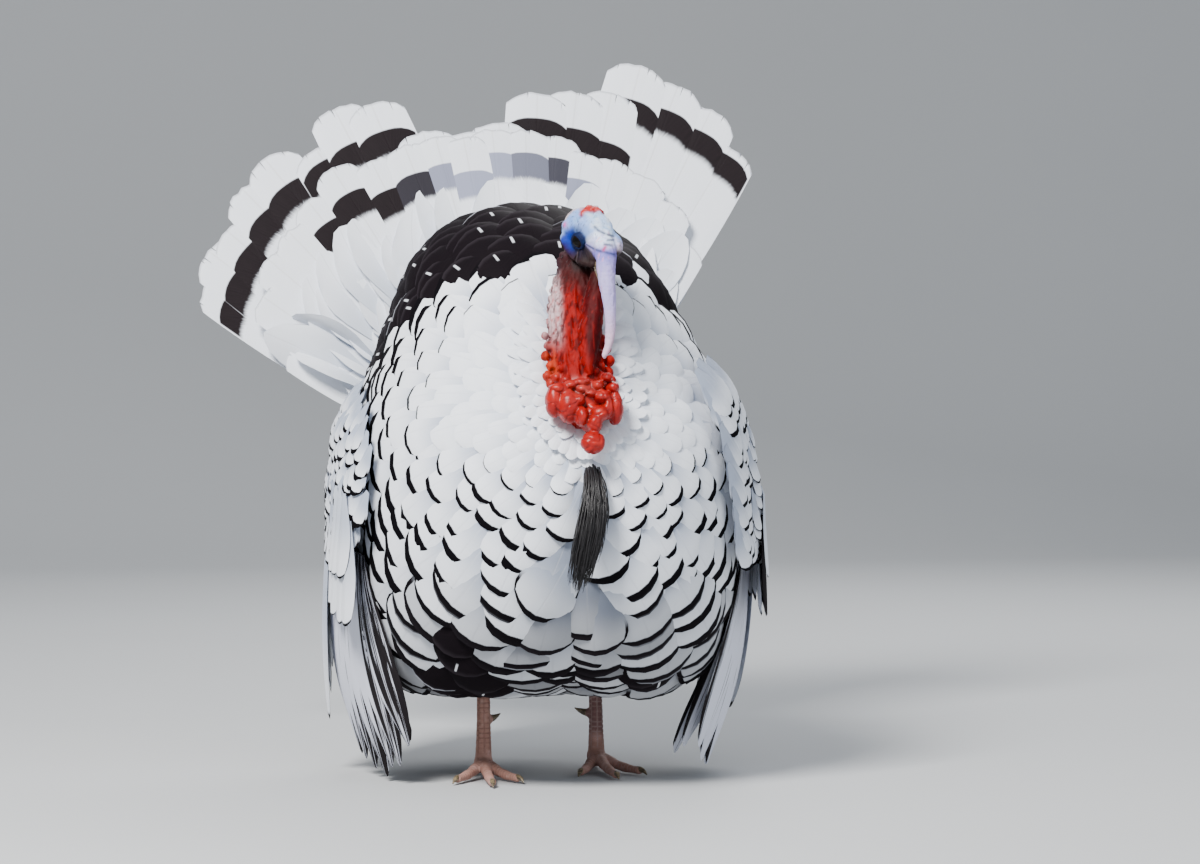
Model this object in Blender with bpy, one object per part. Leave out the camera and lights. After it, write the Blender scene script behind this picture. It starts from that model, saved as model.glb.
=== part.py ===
"""A strutting domestic turkey tom with white, black-edged plumage, standing on both feet, life size.

Metres, +Z up. The bird faces -Y and its left side is +X. The floor is Z = 0, and the origin is the middle of
the bounding box's base. The body is one lofted form, parted with thin cuts into breast, back, belly and rump.
"""

import math

import bmesh
import bpy
import numpy as np
from mathutils import Matrix, Vector

# Driving dimensions
GAP = 0.0005  # clearance that every cut and every fitted piece leaves
VANE = 0.0006  # least thickness of a feather's vane
SHAFT = 0.0011  # thickness of a feather along its shaft

# The puffed body, as level rings: height, half width, front, back
TRUNK = [
    (0.086, 0.060, -0.070, 0.050),
    (0.092, 0.118, -0.128, 0.080),
    (0.110, 0.150, -0.172, 0.112),
    (0.145, 0.170, -0.212, 0.150),
    (0.190, 0.181, -0.238, 0.180),
    (0.240, 0.190, -0.253, 0.200),
    (0.295, 0.194, -0.256, 0.213),
    (0.345, 0.191, -0.244, 0.219),
    (0.385, 0.181, -0.223, 0.220),
    (0.420, 0.163, -0.199, 0.217),
    (0.455, 0.147, -0.172, 0.209),
    (0.490, 0.132, -0.144, 0.196),
    (0.520, 0.115, -0.108, 0.180),
    (0.548, 0.087, -0.060, 0.156),
    (0.566, 0.052, -0.010, 0.124),
    (0.573, 0.018, 0.030, 0.086),
]
TRUNK_ROUNDNESS = 2.25  # superellipse exponent of the rings
TRUNK_RINGS = 14
TRUNK_COLUMNS = 28
TRUNK_LEAN = -0.006  # how far the top of the raised back leans to the bird's right

BACK_CUT_POINT = (0.0, -0.120, 0.512)  # the raised back starts behind the neck
BACK_CUT_NORMAL = (0.0, 0.537, 0.843)
RUMP_CUT_Y = 0.075
BELLY_CUT_Z = 0.148

# Head, in its own frame before it is turned: -Y to the bill, origin between the eyes
HEAD_PLACE = (0.022, -0.178, 0.530)
HEAD_YAW = math.radians(22)
HEAD_PITCH = math.radians(40)
# distance behind the eyes, half width, top, bottom
HEAD = [
    (0.0400, 0.0060, 0.0060, -0.0060),
    (0.0375, 0.0130, 0.0145, -0.0120),
    (0.0300, 0.0185, 0.0220, -0.0175),
    (0.0200, 0.0212, 0.0262, -0.0200),
    (0.0080, 0.0222, 0.0272, -0.0200),
    (-0.0050, 0.0218, 0.0250, -0.0190),
    (-0.0160, 0.0185, 0.0205, -0.0175),
    (-0.0240, 0.0140, 0.0150, -0.0155),
    (-0.0300, 0.0105, 0.0105, -0.0130),
]
HEAD_COLUMNS = 14
HEAD_ROUNDNESS = 2.2
EYE_RADIUS = 0.0085
EYE_PLACE = (0.0148, 0.0, 0.0035)
BILL_ROOT_Y = -0.0285
BILL_ROOT_OVERLAP = 0.006  # how far each half starts inside the face
BILL_HALF_WIDTH = 0.0085
# each half of the bill: length, drop of the tip, top and bottom at the root
BILL_HALVES = {
    "bill_upper": (0.0370, 0.0090, 0.0085, 0.0006),
    "bill_lower": (0.0318, 0.0068, -0.0006, -0.0075),
}

# Bare neck: height, side shift, middle front to back, half width, half depth
NECK = [
    (0.530, 0.0170, -0.1500, 0.0140, 0.0150),
    (0.514, 0.0150, -0.1545, 0.0200, 0.0215),
    (0.490, 0.0110, -0.1600, 0.0235, 0.0250),
    (0.460, 0.0060, -0.1700, 0.0255, 0.0275),
    (0.430, 0.0045, -0.1850, 0.0265, 0.0290),
    (0.400, 0.0040, -0.2020, 0.0260, 0.0290),
    (0.372, 0.0040, -0.2160, 0.0225, 0.0250),
    (0.352, 0.0040, -0.2230, 0.0150, 0.0170),
]
DEWLAP = [
    (0.500, 0.0230, -0.1900, 0.0085, 0.0100),
    (0.480, 0.0200, -0.1960, 0.0110, 0.0130),
    (0.450, 0.0140, -0.2050, 0.0130, 0.0140),
    (0.430, 0.0120, -0.2130, 0.0120, 0.0120),
    (0.413, 0.0130, -0.2200, 0.0085, 0.0085),
    (0.402, 0.0140, -0.2240, 0.0040, 0.0045),
]
SNOOD_PATH = [
    (0.0300, -0.1990, 0.5265),
    (0.0325, -0.2120, 0.5225),
    (0.0345, -0.2215, 0.5060),
    (0.0355, -0.2260, 0.4820),
    (0.0345, -0.2290, 0.4560),
    (0.0310, -0.2310, 0.4330),
    (0.0280, -0.2320, 0.4190),
]
SNOOD_RADII = [0.0085, 0.0110, 0.0100, 0.0075, 0.0055, 0.0050, 0.0035]
# Fleshy lobes at the foot of the neck: middle, half sizes
CARUNCLES = {
    "caruncle_right": [
        ((-0.0150, -0.2440, 0.3800), (0.0165, 0.0150, 0.0180)),
        ((-0.0190, -0.2330, 0.4040), (0.0085, 0.0100, 0.0140)),
    ],
    "caruncle_left": [
        ((0.0230, -0.2440, 0.3800), (0.0155, 0.0150, 0.0195)),
        ((0.0250, -0.2330, 0.4070), (0.0095, 0.0110, 0.0150)),
        ((0.0255, -0.2260, 0.4270), (0.0070, 0.0090, 0.0150)),
    ],
    "caruncle_front": [
        ((0.0055, -0.2560, 0.3640), (0.0125, 0.0130, 0.0160)),
        ((0.0060, -0.2590, 0.3440), (0.0125, 0.0120, 0.0160)),
    ],
}
# Beard: height, side shift, middle front to back, half width, half depth
BEARD = [
    (0.312, 0.0085, -0.2520, 0.0105, 0.0080),
    (0.290, 0.0095, -0.2610, 0.0120, 0.0085),
    (0.262, 0.0070, -0.2640, 0.0115, 0.0075),
    (0.235, 0.0010, -0.2640, 0.0080, 0.0055),
    (0.204, -0.0080, -0.2620, 0.0020, 0.0015),
]

# Tail: 18 feathers in a leaning fan, each with its angle from the bird's left and its length
FAN_ROOT = (0.023, 0.222, 0.282)
FAN_LEAN = math.radians(14)
FAN_HUB = 0.092  # radius where the feathers leave the tail's base
FAN_DEPTH_STEP = 0.0008
FAN_BOW = 0.020  # how far the tips curve back
FAN_DISH = 0.034  # how far the sides come forward, at the coverts' reach
TAIL = [
    (57.0, 0.446), (61.8, 0.474), (67.0, 0.485), (72.3, 0.493), (75.2, 0.452), (80.0, 0.444),
    (85.6, 0.437), (91.5, 0.400), (97.6, 0.391), (103.6, 0.400), (109.4, 0.446), (114.4, 0.456),
    (119.6, 0.440), (126.6, 0.444), (132.0, 0.434), (138.2, 0.424), (142.4, 0.414), (146.0, 0.396),
]
TAIL_HALF_WIDTH = 0.033
TAIL_SECTIONS = (0.0, 0.34, 0.70, 0.93, 1.0)
COVERT_REACH = 0.330
COVERT_FEATHERS = 14
COVERT_SCALLOP = 0.06  # depth of the scallops, as a share of the reach
COVERT_LIFT = 0.0045
COVERT_PAD = 0.0035
# The stub that carries the tail: the fan's lifts that it spans, its inset edges, the ends of its arc
TAIL_BASE_LIFTS = (-0.0175, -0.0150, 0.0025, 0.0050)
TAIL_BASE_INSET = 0.004
TAIL_BASE_ARC = (40.0, 168.0)
TAIL_BASE_STEPS = 20
TAIL_BASE_FOOT = 0.030
TAIL_BASE_FOOT_ANGLES = (235.0, 335.0)
UNDER_COVERTS_SIZES = (0.118, 0.082, 0.150)
UNDER_COVERTS_OFFSET = (-0.0092, -0.004, -0.030)  # from the fan's root

# Wings: drooped, hugging the flanks; the wrist is low at the front and the tips end just above the floor
WING_CLEAR = 0.0090
WING_PLAN_DEPTH = 0.265  # half the length of the wings' oval seen from above
WING_TAPER = 0.34  # how far the wings close in towards the tail
WING_FLARE = 0.010  # how far the hanging feathers bulge outwards
WING_FLARE_Z = 0.310
WING_HANG_Z = 0.255  # below this height the wing hangs straight down
COVERTS_FRONT = -0.132
COVERTS_LENGTH = 0.310
COVERTS_MIDDLE = (0.318, 0.330)  # height of the middle line at the front and the rear
COVERTS_RISE = 0.078
COVERTS_DROP = 0.098
COVERTS_PAD = 0.0075
COVERTS_STATIONS = 10
WRIST = (-0.085, 0.250)  # front-to-back place and height
# angle back from straight down, length
PRIMARIES = [(-4.0, 0.196), (4.0, 0.230), (12.0, 0.238), (20.5, 0.244), (29.5, 0.252)]
PRIMARY_HALF_WIDTH = 0.0205
PRIMARY_SECTIONS = (0.0, 0.25, 0.5, 0.72, 0.9, 1.0)
PRIMARY_BEND = math.radians(7)  # how much a quill curves back along its length
PRIMARY_ROOT_DROP = 0.024  # from the wrist to the foremost quill's root
PRIMARY_ROOT_STEP = (0.011, 0.004)  # from one quill's root to the next
QUILL_LIFTS = (-0.0154, -0.0107, -0.0068, -0.0039, -0.0018)  # the foremost quill lies innermost

# The rear wing feathers, from the quills (first value) to the tail (second)
SECONDARY_ROOT_Y = (-0.010, 0.115)
SECONDARY_ROOT_Z = (0.232, 0.317)
SECONDARY_ANGLES = (26.0, 76.0)
SECONDARY_LENGTHS = (0.196, 0.136)
SECONDARY_STEPS = 14
SECONDARY_SCALLOP = 0.05
SECONDARY_LIFT = 0.0012
SECONDARY_PAD = 0.002

# Legs: side, front-to-back place of the ankle
LEGS = {"right": (-1, -0.024), "left": (1, 0.022)}
LEG_SPREAD = 0.061
SHANK_RADIUS = 0.0076
SHANK_TOP_Z = 0.130
SHANK_LEAN = 0.012  # how far back the top of the shank lies
ANKLE_Z = 0.026
PAD_RADIUS = 0.0085
THIGH_SIDE = 0.088
THIGH_Z = 0.136
THIGH_SIZES = (0.052, 0.066, 0.053)
SPUR_Z = 0.058
SPUR_RADII = (0.0042, 0.0030, 0.0008)
# toes: angle outward from straight ahead, length
TOES = {"inner": (-24.0, 0.062), "middle": (3.0, 0.088), "outer": (32.0, 0.064), "hind": (172.0, 0.036)}
TOE_RADIUS = 0.0066
TOE_KNUCKLES = 6
TOE_MIDDLE_Z = 0.0046  # low enough for the floor to flatten the toe's underside
TOE_ARCH = 0.0125  # how much higher the toe starts at the ankle
CLAW_LENGTH = 0.013

# Looks: colour, roughness
WHITE = ((0.86, 0.88, 0.93), 0.7)
BLACK = ((0.035, 0.03, 0.036), 0.55)
RED = ((0.70, 0.07, 0.04), 0.45)
DARK_RED = ((0.38, 0.03, 0.03), 0.5)
PALE_BLUE = ((0.55, 0.68, 0.88), 0.5)
LAVENDER = ((0.62, 0.56, 0.80), 0.45)
HORN = ((0.16, 0.11, 0.07), 0.4)
LEG_BROWN = ((0.38, 0.22, 0.17), 0.55)
EYE_DARK = ((0.02, 0.012, 0.01), 0.08)


def clear_scene():
    for obj in list(bpy.data.objects):
        bpy.data.objects.remove(obj, do_unlink=True)


def new_collection(name):
    made = bpy.data.collections.new(name)
    bpy.context.scene.collection.children.link(made)
    return made


def material_for(name, look):
    colour, roughness = look
    made = bpy.data.materials.new(name)
    made.use_nodes = True
    shader = made.node_tree.nodes["Principled BSDF"]
    shader.inputs["Base Color"].default_value = (*colour, 1.0)
    shader.inputs["Roughness"].default_value = roughness
    shader.inputs["Metallic"].default_value = 0.0
    return made


def add_object(name, mesh, look):
    """A named object of the turkey, with a material of its own."""
    mesh.materials.clear()
    mesh.materials.append(material_for(name, look))
    mesh.shade_smooth()
    mesh.set_sharp_from_angle(angle=math.radians(50))
    obj = bpy.data.objects.new(name, mesh)
    turkey.objects.link(obj)
    return obj


def read_table(table, where):
    """The other columns of a table at a value of its first, on a smooth curve without overshoot."""
    rows = np.asarray(sorted(table), float)
    at = rows[:, 0]
    values = rows[:, 1:]
    rise = np.diff(values, axis=0) / np.diff(at)[:, None]
    slope = np.empty_like(values)
    slope[0], slope[-1] = rise[0], rise[-1]
    product = rise[1:] * rise[:-1]
    total = np.where(product > 0, rise[1:] + rise[:-1], 1.0)
    slope[1:-1] = np.where(product > 0, 2 * product / total, 0.0)
    i = int(np.clip(np.searchsorted(at, where) - 1, 0, len(at) - 2))
    width = at[i + 1] - at[i]
    t = (where - at[i]) / width
    found = (
        (1 + 2 * t) * (1 - t) ** 2 * values[i]
        + t * (1 - t) ** 2 * width * slope[i]
        + t * t * (3 - 2 * t) * values[i + 1]
        + t * t * (t - 1) * width * slope[i + 1]
    )
    return found.tolist()


def between(ends, share):
    return ends[0] + (ends[1] - ends[0]) * share


def signed_power(value, power):
    return math.copysign(abs(value) ** power, value)


def loft(rings):
    """A closed mesh through rings of equally many points, its two ends closed with flat caps."""
    shape = bmesh.new()
    rows = [[shape.verts.new(point) for point in ring] for ring in rings]
    for row, following in zip(rows, rows[1:]):
        for k in range(len(row)):
            after = (k + 1) % len(row)
            shape.faces.new((row[k], row[after], following[after], following[k]))
    shape.faces.new(list(reversed(rows[0])))
    shape.faces.new(rows[-1])
    bmesh.ops.recalc_face_normals(shape, faces=shape.faces)
    if shape.calc_volume(signed=True) < 0:
        bmesh.ops.reverse_faces(shape, faces=shape.faces)
    mesh = bpy.data.meshes.new("loft")
    shape.to_mesh(mesh)
    shape.free()
    return mesh


def oval_ring(centre, across, along, half_width, half_depth, columns, roundness=2.0):
    """One ring in the plane of two unit vectors."""
    points = []
    for k in range(columns):
        angle = 2 * math.pi * k / columns
        u = half_width * signed_power(math.cos(angle), 2 / roundness)
        v = half_depth * signed_power(math.sin(angle), 2 / roundness)
        points.append(Vector(centre) + u * Vector(across) + v * Vector(along))
    return points


def column_loft(table, rings, columns):
    """A standing form from a table of height, side shift, middle, half width and half depth."""
    heights = np.linspace(table[0][0], table[-1][0], rings).tolist()
    made = []
    for height in heights:
        shift, middle, half_width, half_depth = read_table(table, height)
        centre = (shift, middle, height)
        made.append(oval_ring(centre, (1, 0, 0), (0, 1, 0), half_width, half_depth, columns))
    return loft(made)


def tube_loft(path, radii, columns, squash=1.0):
    """A tapering tube along a path; squash flattens it from above."""
    points = [Vector(point) for point in path]
    rings = []
    for k, point in enumerate(points):
        ahead = points[min(k + 1, len(points) - 1)] - points[max(k - 1, 0)]
        ahead.normalize()
        side = ahead.cross(Vector((0, 0, 1)))
        if side.length < 0.05:
            side = Vector((1, 0, 0))
        side.normalize()
        rise = side.cross(ahead).normalized()
        rings.append(oval_ring(point, side, rise, radii[k], radii[k] * squash, columns))
    return loft(rings)


def evaluated_copy(obj, name):
    graph = bpy.context.evaluated_depsgraph_get()
    graph.update()
    mesh = bpy.data.meshes.new_from_object(obj.evaluated_get(graph))
    mesh.name = name
    mesh.transform(obj.matrix_world)
    return mesh


def make_cutter(name, mesh):
    cutter = bpy.data.objects.new(name, mesh)
    cutters.objects.link(cutter)
    cutter.hide_render = True
    cutter.display_type = "WIRE"
    return cutter


def add_boolean(target, other, operation):
    """Joins or cuts two closed meshes, and keeps the result as the target's mesh."""
    modifier = target.modifiers.new(f"{operation.lower()}_{other.name}", "BOOLEAN")
    modifier.operation = operation
    modifier.solver = "EXACT"
    modifier.object = other
    target.data = evaluated_copy(target, target.name)
    target.modifiers.clear()


def swollen(obj):
    """A cutter a gap larger than an object all round."""
    mesh = evaluated_copy(obj, "clear_of_" + obj.name)
    count = len(mesh.vertices)
    places = np.empty(count * 3, np.float32)
    normals = np.empty(count * 3, np.float32)
    mesh.vertices.foreach_get("co", places)
    mesh.vertices.foreach_get("normal", normals)
    mesh.vertices.foreach_set("co", places + GAP * normals)
    mesh.update()
    return make_cutter(mesh.name, mesh)


def fit_to(target, *neighbours):
    """Cuts the neighbours' shapes out of the target, with a gap."""
    for neighbour in neighbours:
        add_boolean(target, swollen(neighbour), "DIFFERENCE")


def keep_side(mesh, point, normal, name):
    """The part of a closed mesh on the side that the normal points to, half a gap in from the plane."""
    shape = bmesh.new()
    shape.from_mesh(mesh)
    direction = Vector(normal).normalized()
    cut = bmesh.ops.bisect_plane(
        shape,
        geom=shape.verts[:] + shape.edges[:] + shape.faces[:],
        dist=1e-7,
        plane_co=Vector(point) + direction * GAP / 2,
        plane_no=direction,
        clear_inner=True,
    )
    edges = [item for item in cut["geom_cut"] if isinstance(item, bmesh.types.BMEdge)]
    bmesh.ops.contextual_create(shape, geom=edges)
    bmesh.ops.recalc_face_normals(shape, faces=shape.faces)
    made = bpy.data.meshes.new(name)
    shape.to_mesh(made)
    shape.free()
    return made


def trunk_point(height, angle):
    half_width, front, back = read_table(TRUNK, height)
    power = 2 / TRUNK_ROUNDNESS
    lean = TRUNK_LEAN * min(1.0, max(0.0, (height - 0.40) / 0.10))
    x = lean + half_width * signed_power(math.cos(angle), power)
    y = (front + back) / 2 + (back - front) / 2 * signed_power(math.sin(angle), power)
    return Vector((x, y, height))


def build_trunk():
    """The four parts of the body, cut from one form."""
    low, high = TRUNK[0][0], TRUNK[-1][0]
    rings = []
    for k in range(TRUNK_RINGS):
        share = (1 - math.cos(math.pi * k / (TRUNK_RINGS - 1))) / 2
        height = low + (high - low) * share
        turns = [2 * math.pi * (c + 0.5) / TRUNK_COLUMNS for c in range(TRUNK_COLUMNS)]
        rings.append([trunk_point(height, turn) for turn in turns])
    whole = loft(rings)
    up, down = Vector((0, 0, 1)), Vector((0, 0, -1))
    fore, aft = Vector((0, -1, 0)), Vector((0, 1, 0))
    back_normal = Vector(BACK_CUT_NORMAL)
    belly_point = (0, 0, BELLY_CUT_Z)
    rump_point = (0, RUMP_CUT_Y, 0)
    above = keep_side(whole, belly_point, up, "above")
    lower = keep_side(above, BACK_CUT_POINT, -back_normal, "lower")
    front = keep_side(lower, rump_point, fore, "front")
    rear = keep_side(lower, rump_point, aft, "rear")
    return {
        "back": add_object("back", keep_side(above, BACK_CUT_POINT, back_normal, "upper"), BLACK),
        "belly": add_object("belly", keep_side(whole, belly_point, down, "belly"), WHITE),
        "breast": add_object("breast", front, WHITE),
        "rump": add_object("rump", rear, WHITE),
    }


def head_matrix():
    turn = Matrix.Rotation(HEAD_YAW, 4, "Z") @ Matrix.Rotation(HEAD_PITCH, 4, "X")
    return Matrix.Translation(HEAD_PLACE) @ turn


def build_head():
    rings = []
    for behind in [row[0] for row in HEAD]:
        half_width, top, bottom = read_table(HEAD, behind)
        centre = (0, behind, (top + bottom) / 2)
        half_height = (top - bottom) / 2
        ring = oval_ring(centre, (1, 0, 0), (0, 0, 1), half_width, half_height, HEAD_COLUMNS, HEAD_ROUNDNESS)
        rings.append(ring)
    mesh = loft(rings)
    mesh.transform(head_matrix())
    return add_object("head", mesh, PALE_BLUE)


def build_eyes(head):
    for side, sign in (("right", -1), ("left", 1)):
        shape = bmesh.new()
        bmesh.ops.create_uvsphere(shape, u_segments=10, v_segments=8, radius=EYE_RADIUS)
        mesh = bpy.data.meshes.new("eye")
        shape.to_mesh(mesh)
        shape.free()
        x, y, z = EYE_PLACE
        turned = Matrix.Translation((sign * x, y, z)) @ Matrix.Rotation(math.pi / 2, 4, "Y")
        mesh.transform(head_matrix() @ turned)
        fit_to(head, add_object(f"eye_{side}", mesh, EYE_DARK))


def bill_half(name):
    """One half of the bill, curving down to its tip."""
    length, tip_drop, ridge, floor = BILL_HALVES[name]
    rings = []
    for k in range(6):
        t = k / 5
        taper = (1 - t) ** 0.62 * 0.94 + 0.06
        y = BILL_ROOT_Y + BILL_ROOT_OVERLAP - (length + BILL_ROOT_OVERLAP) * t
        drop = -tip_drop * t * t
        top, bottom = drop + ridge * taper, drop + floor * taper
        centre = (0, y, (top + bottom) / 2)
        rings.append(oval_ring(centre, (1, 0, 0), (0, 0, 1), BILL_HALF_WIDTH * taper, (top - bottom) / 2, 10))
    mesh = loft(rings)
    mesh.transform(head_matrix())
    return add_object(name, mesh, HORN)


def join_lumps(name, lumps, look):
    """Rounded lumps joined into one body."""
    parts = []
    for k, (middle, sizes) in enumerate(lumps):
        shape = bmesh.new()
        bmesh.ops.create_uvsphere(shape, u_segments=9, v_segments=6, radius=1.0)
        mesh = bpy.data.meshes.new(f"{name}_lump_{k}")
        shape.to_mesh(mesh)
        shape.free()
        mesh.transform(Matrix.Translation(middle) @ Matrix.Diagonal((*sizes, 1.0)))
        parts.append(mesh)
    whole = add_object(name, parts[0], look)
    for mesh in parts[1:]:
        add_boolean(whole, make_cutter(mesh.name, mesh), "UNION")
    return whole


def build_neck_and_face(trunk):
    head = build_head()
    build_eyes(head)
    neck = add_object("neck", column_loft(NECK, 10, 14), RED)
    fit_to(neck, head)
    dewlap = add_object("dewlap", column_loft(DEWLAP, 8, 8), DARK_RED)
    upper = bill_half("bill_upper")
    lower = bill_half("bill_lower")
    fit_to(upper, head)
    fit_to(lower, head, upper)
    fit_to(dewlap, head, lower, upper, neck)
    snood = add_object("snood", tube_loft(SNOOD_PATH, SNOOD_RADII, 9), LAVENDER)
    fit_to(snood, head, upper, lower, dewlap)
    breast = trunk["breast"]
    fit_to(breast, neck)
    fit_to(trunk["back"], neck)
    fitted = [neck, breast, dewlap, snood]
    for name, lumps in CARUNCLES.items():
        caruncle = join_lumps(name, lumps, RED)
        fit_to(caruncle, *fitted)
        fitted.append(caruncle)
    beard = add_object("beard", column_loft(BEARD, 7, 8), BLACK)
    fit_to(beard, breast, fitted[-1])


def fan_point(radius, across, angle, lift):
    """A point of the leaning, dished fan, from its place along and across one feather."""
    along = Vector((math.cos(angle), 0, math.sin(angle)))
    beside = Vector((-math.sin(angle), 0, math.cos(angle)))
    flat = radius * along + across * beside
    reach = flat.length / COVERT_REACH
    forward = FAN_DISH * (flat.x / COVERT_REACH) ** 2 - FAN_BOW * reach**2 + lift
    up = Vector((0, math.sin(FAN_LEAN), math.cos(FAN_LEAN)))
    front = Vector((0, -math.cos(FAN_LEAN), math.sin(FAN_LEAN)))
    return Vector(FAN_ROOT) + flat.x * Vector((1, 0, 0)) + flat.z * up + forward * front


def feather_width(t, full):
    """Half the width of a broad feather: narrow at the quill, square with round corners at the tip."""
    widening = min(1.0, 0.16 + 0.84 * (t / 0.62) ** 1.1)
    tip = max(0.0, (t - 0.9) / 0.1)
    return full * widening * (1 - 0.5 * tip**2.4)


def blade_ring(place, half_width):
    """Six points round a flat feather's section: thin at both edges, thicker at the shaft."""
    edge, shaft = VANE / 2, SHAFT / 2
    sides = [(-1, -edge), (0, -shaft), (1, -edge), (1, edge), (0, shaft), (-1, edge)]
    return [place(side * half_width, lift) for side, lift in sides]


def fan_depth(k):
    """How far behind the front face a feather lies: the middle one is foremost, the others alternate."""
    from_middle = k - (len(TAIL) // 2 - 1)
    rank = 2 * from_middle - 1 if from_middle > 0 else -2 * from_middle
    return -(FAN_DEPTH_STEP * rank + (FAN_DEPTH_STEP / 2 if rank else 0.0))


def build_tail(trunk):
    for k, (degrees, length) in enumerate(TAIL):
        angle = math.radians(degrees)
        depth = fan_depth(k)
        rings = []
        for t in TAIL_SECTIONS:
            radius = FAN_HUB + GAP + (length - FAN_HUB - GAP) * t
            half_width = feather_width(t, TAIL_HALF_WIDTH)
            rings.append(blade_ring(lambda s, lift: fan_point(radius, s, angle, depth + lift), half_width))
        add_object(f"tail_feather_{k + 1:02d}", loft(rings), WHITE)
    base = build_tail_base()
    coverts = build_upper_coverts()
    under = build_under_coverts()
    fit_to(under, base)
    for part in (trunk["rump"], trunk["back"]):
        fit_to(part, base, coverts, under)


def build_tail_base():
    """The fleshy stub that carries the tail feathers, a thick half disc."""
    arc = [math.radians(between(TAIL_BASE_ARC, k / TAIL_BASE_STEPS)) for k in range(TAIL_BASE_STEPS + 1)]
    foot = [math.radians(angle) for angle in TAIL_BASE_FOOT_ANGLES]
    rings = []
    for lift in TAIL_BASE_LIFTS:
        inset = TAIL_BASE_INSET if lift in (TAIL_BASE_LIFTS[0], TAIL_BASE_LIFTS[-1]) else 0.0
        ring = [fan_point(FAN_HUB - inset, 0, angle, lift) for angle in arc]
        ring += [fan_point(TAIL_BASE_FOOT + inset, 0, angle, lift) for angle in foot]
        rings.append(ring)
    return add_object("tail_base", loft(rings), WHITE)


def build_upper_coverts():
    """The covert feathers in front of the fan, one sheet with a scalloped edge."""
    first, last = TAIL[0][0] - 3, TAIL[-1][0] + 2
    steps = COVERT_FEATHERS * 2
    rings = []
    for k in range(steps + 1):
        angle = math.radians(first + (last - first) * k / steps)
        reach = COVERT_REACH * (1 - COVERT_SCALLOP * (1 - k % 2))
        front, rear = [], []
        for j in range(4):
            radius = FAN_HUB + 0.006 + (reach - FAN_HUB - 0.006) * j / 3
            thick = COVERT_PAD * (1 - j / 3) + VANE
            front.append(fan_point(radius, 0, angle, COVERT_LIFT + thick))
            rear.append(fan_point(radius, 0, angle, COVERT_LIFT))
        rings.append(rear + front[::-1])
    return add_object("tail_coverts", loft(rings), WHITE)


def build_under_coverts():
    """The soft mass of feathers behind the fan's root."""
    shape = bmesh.new()
    bmesh.ops.create_uvsphere(shape, u_segments=14, v_segments=8, radius=1.0)
    mesh = bpy.data.meshes.new("under")
    shape.to_mesh(mesh)
    shape.free()
    tilt = Matrix.Rotation(-FAN_LEAN, 4, "X")
    middle = Matrix.Translation(Vector(FAN_ROOT) + Vector(UNDER_COVERTS_OFFSET))
    mesh.transform(middle @ tilt @ Matrix.Diagonal((*UNDER_COVERTS_SIZES, 1)))
    behind = fan_point(0, 0, 0, TAIL_BASE_LIFTS[0] - GAP)
    normal = (0, math.cos(FAN_LEAN), -math.sin(FAN_LEAN))
    return add_object("under_tail_coverts", keep_side(mesh, behind, normal, "under_tail"), WHITE)


def wing_plan(y, z):
    """How far out the wing lies: round the breast in front, nearly straight behind, flared at mid height."""
    half_width, front, back = read_table(TRUNK, max(z, WING_HANG_Z))
    share = (y - (front + back) / 2) / WING_PLAN_DEPTH
    flare = WING_FLARE * math.sin(math.pi * min(1.0, max(0.0, z / WING_FLARE_Z)))
    reach = half_width + WING_CLEAR + flare
    if share > 0:
        return reach * (1 - WING_TAPER * share**2)
    return reach * (1 - abs(share) ** TRUNK_ROUNDNESS) ** (1 / TRUNK_ROUNDNESS)


def wing_surface(y, z, lift):
    """A point a small distance outside the flank; below the hanging height it drops straight down."""
    step = 0.001
    slope = (wing_plan(y + step, z) - wing_plan(y - step, z)) / (2 * step)
    outward = Vector((1.0, -slope, 0.0)).normalized()
    return Vector((wing_plan(y, z), y, z)) + lift * outward


def mirrored(point, sign):
    return Vector((sign * point.x, point.y, point.z))


def build_wing_coverts(side, sign):
    """The folded upper wing, a padded leaf-shaped shell over the flank from shoulder to elbow."""
    rings = []
    for k in range(COVERTS_STATIONS + 1):
        u = 0.03 + 0.94 * k / COVERTS_STATIONS
        y = COVERTS_FRONT + COVERTS_LENGTH * k / COVERTS_STATIONS
        belly = math.sin(math.pi * u**0.8) ** 0.55
        middle = between(COVERTS_MIDDLE, u)
        top, bottom = middle + COVERTS_RISE * belly, middle - COVERTS_DROP * belly
        pad = COVERTS_PAD * math.sin(math.pi * u) ** 0.7
        inner, outer = [], []
        for j in range(6):
            v = j / 5
            z = top + (bottom - top) * v
            thick = VANE + pad * math.sin(math.pi * v) ** 0.6
            inner.append(mirrored(wing_surface(y, z, 0.0), sign))
            outer.append(mirrored(wing_surface(y, z, thick), sign))
        rings.append(inner + outer[::-1])
    return add_object(f"wing_{side}_coverts", loft(rings), WHITE)


def wing_blade(root, degrees, length, full, lift):
    """Rings of a narrow quill in the wing's surface, turned back by an angle from straight down."""
    angle = math.radians(degrees)
    rings = []
    for t in PRIMARY_SECTIONS:
        bend = angle + PRIMARY_BEND * (t - 0.5)
        y, z = root[0] + length * t * math.sin(bend), root[1] - length * t * math.cos(bend)
        narrowing = max(0.16, (1 - max(0.0, (t - 0.55) / 0.45) ** 2) ** 0.6)
        half_width = full * min(1.0, 0.35 + 1.6 * t) * narrowing
        dy, dz = math.cos(bend), math.sin(bend)
        rings.append(blade_ring(lambda s, up: wing_surface(y + s * dy, z + s * dz, lift + up), half_width))
    return rings


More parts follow.
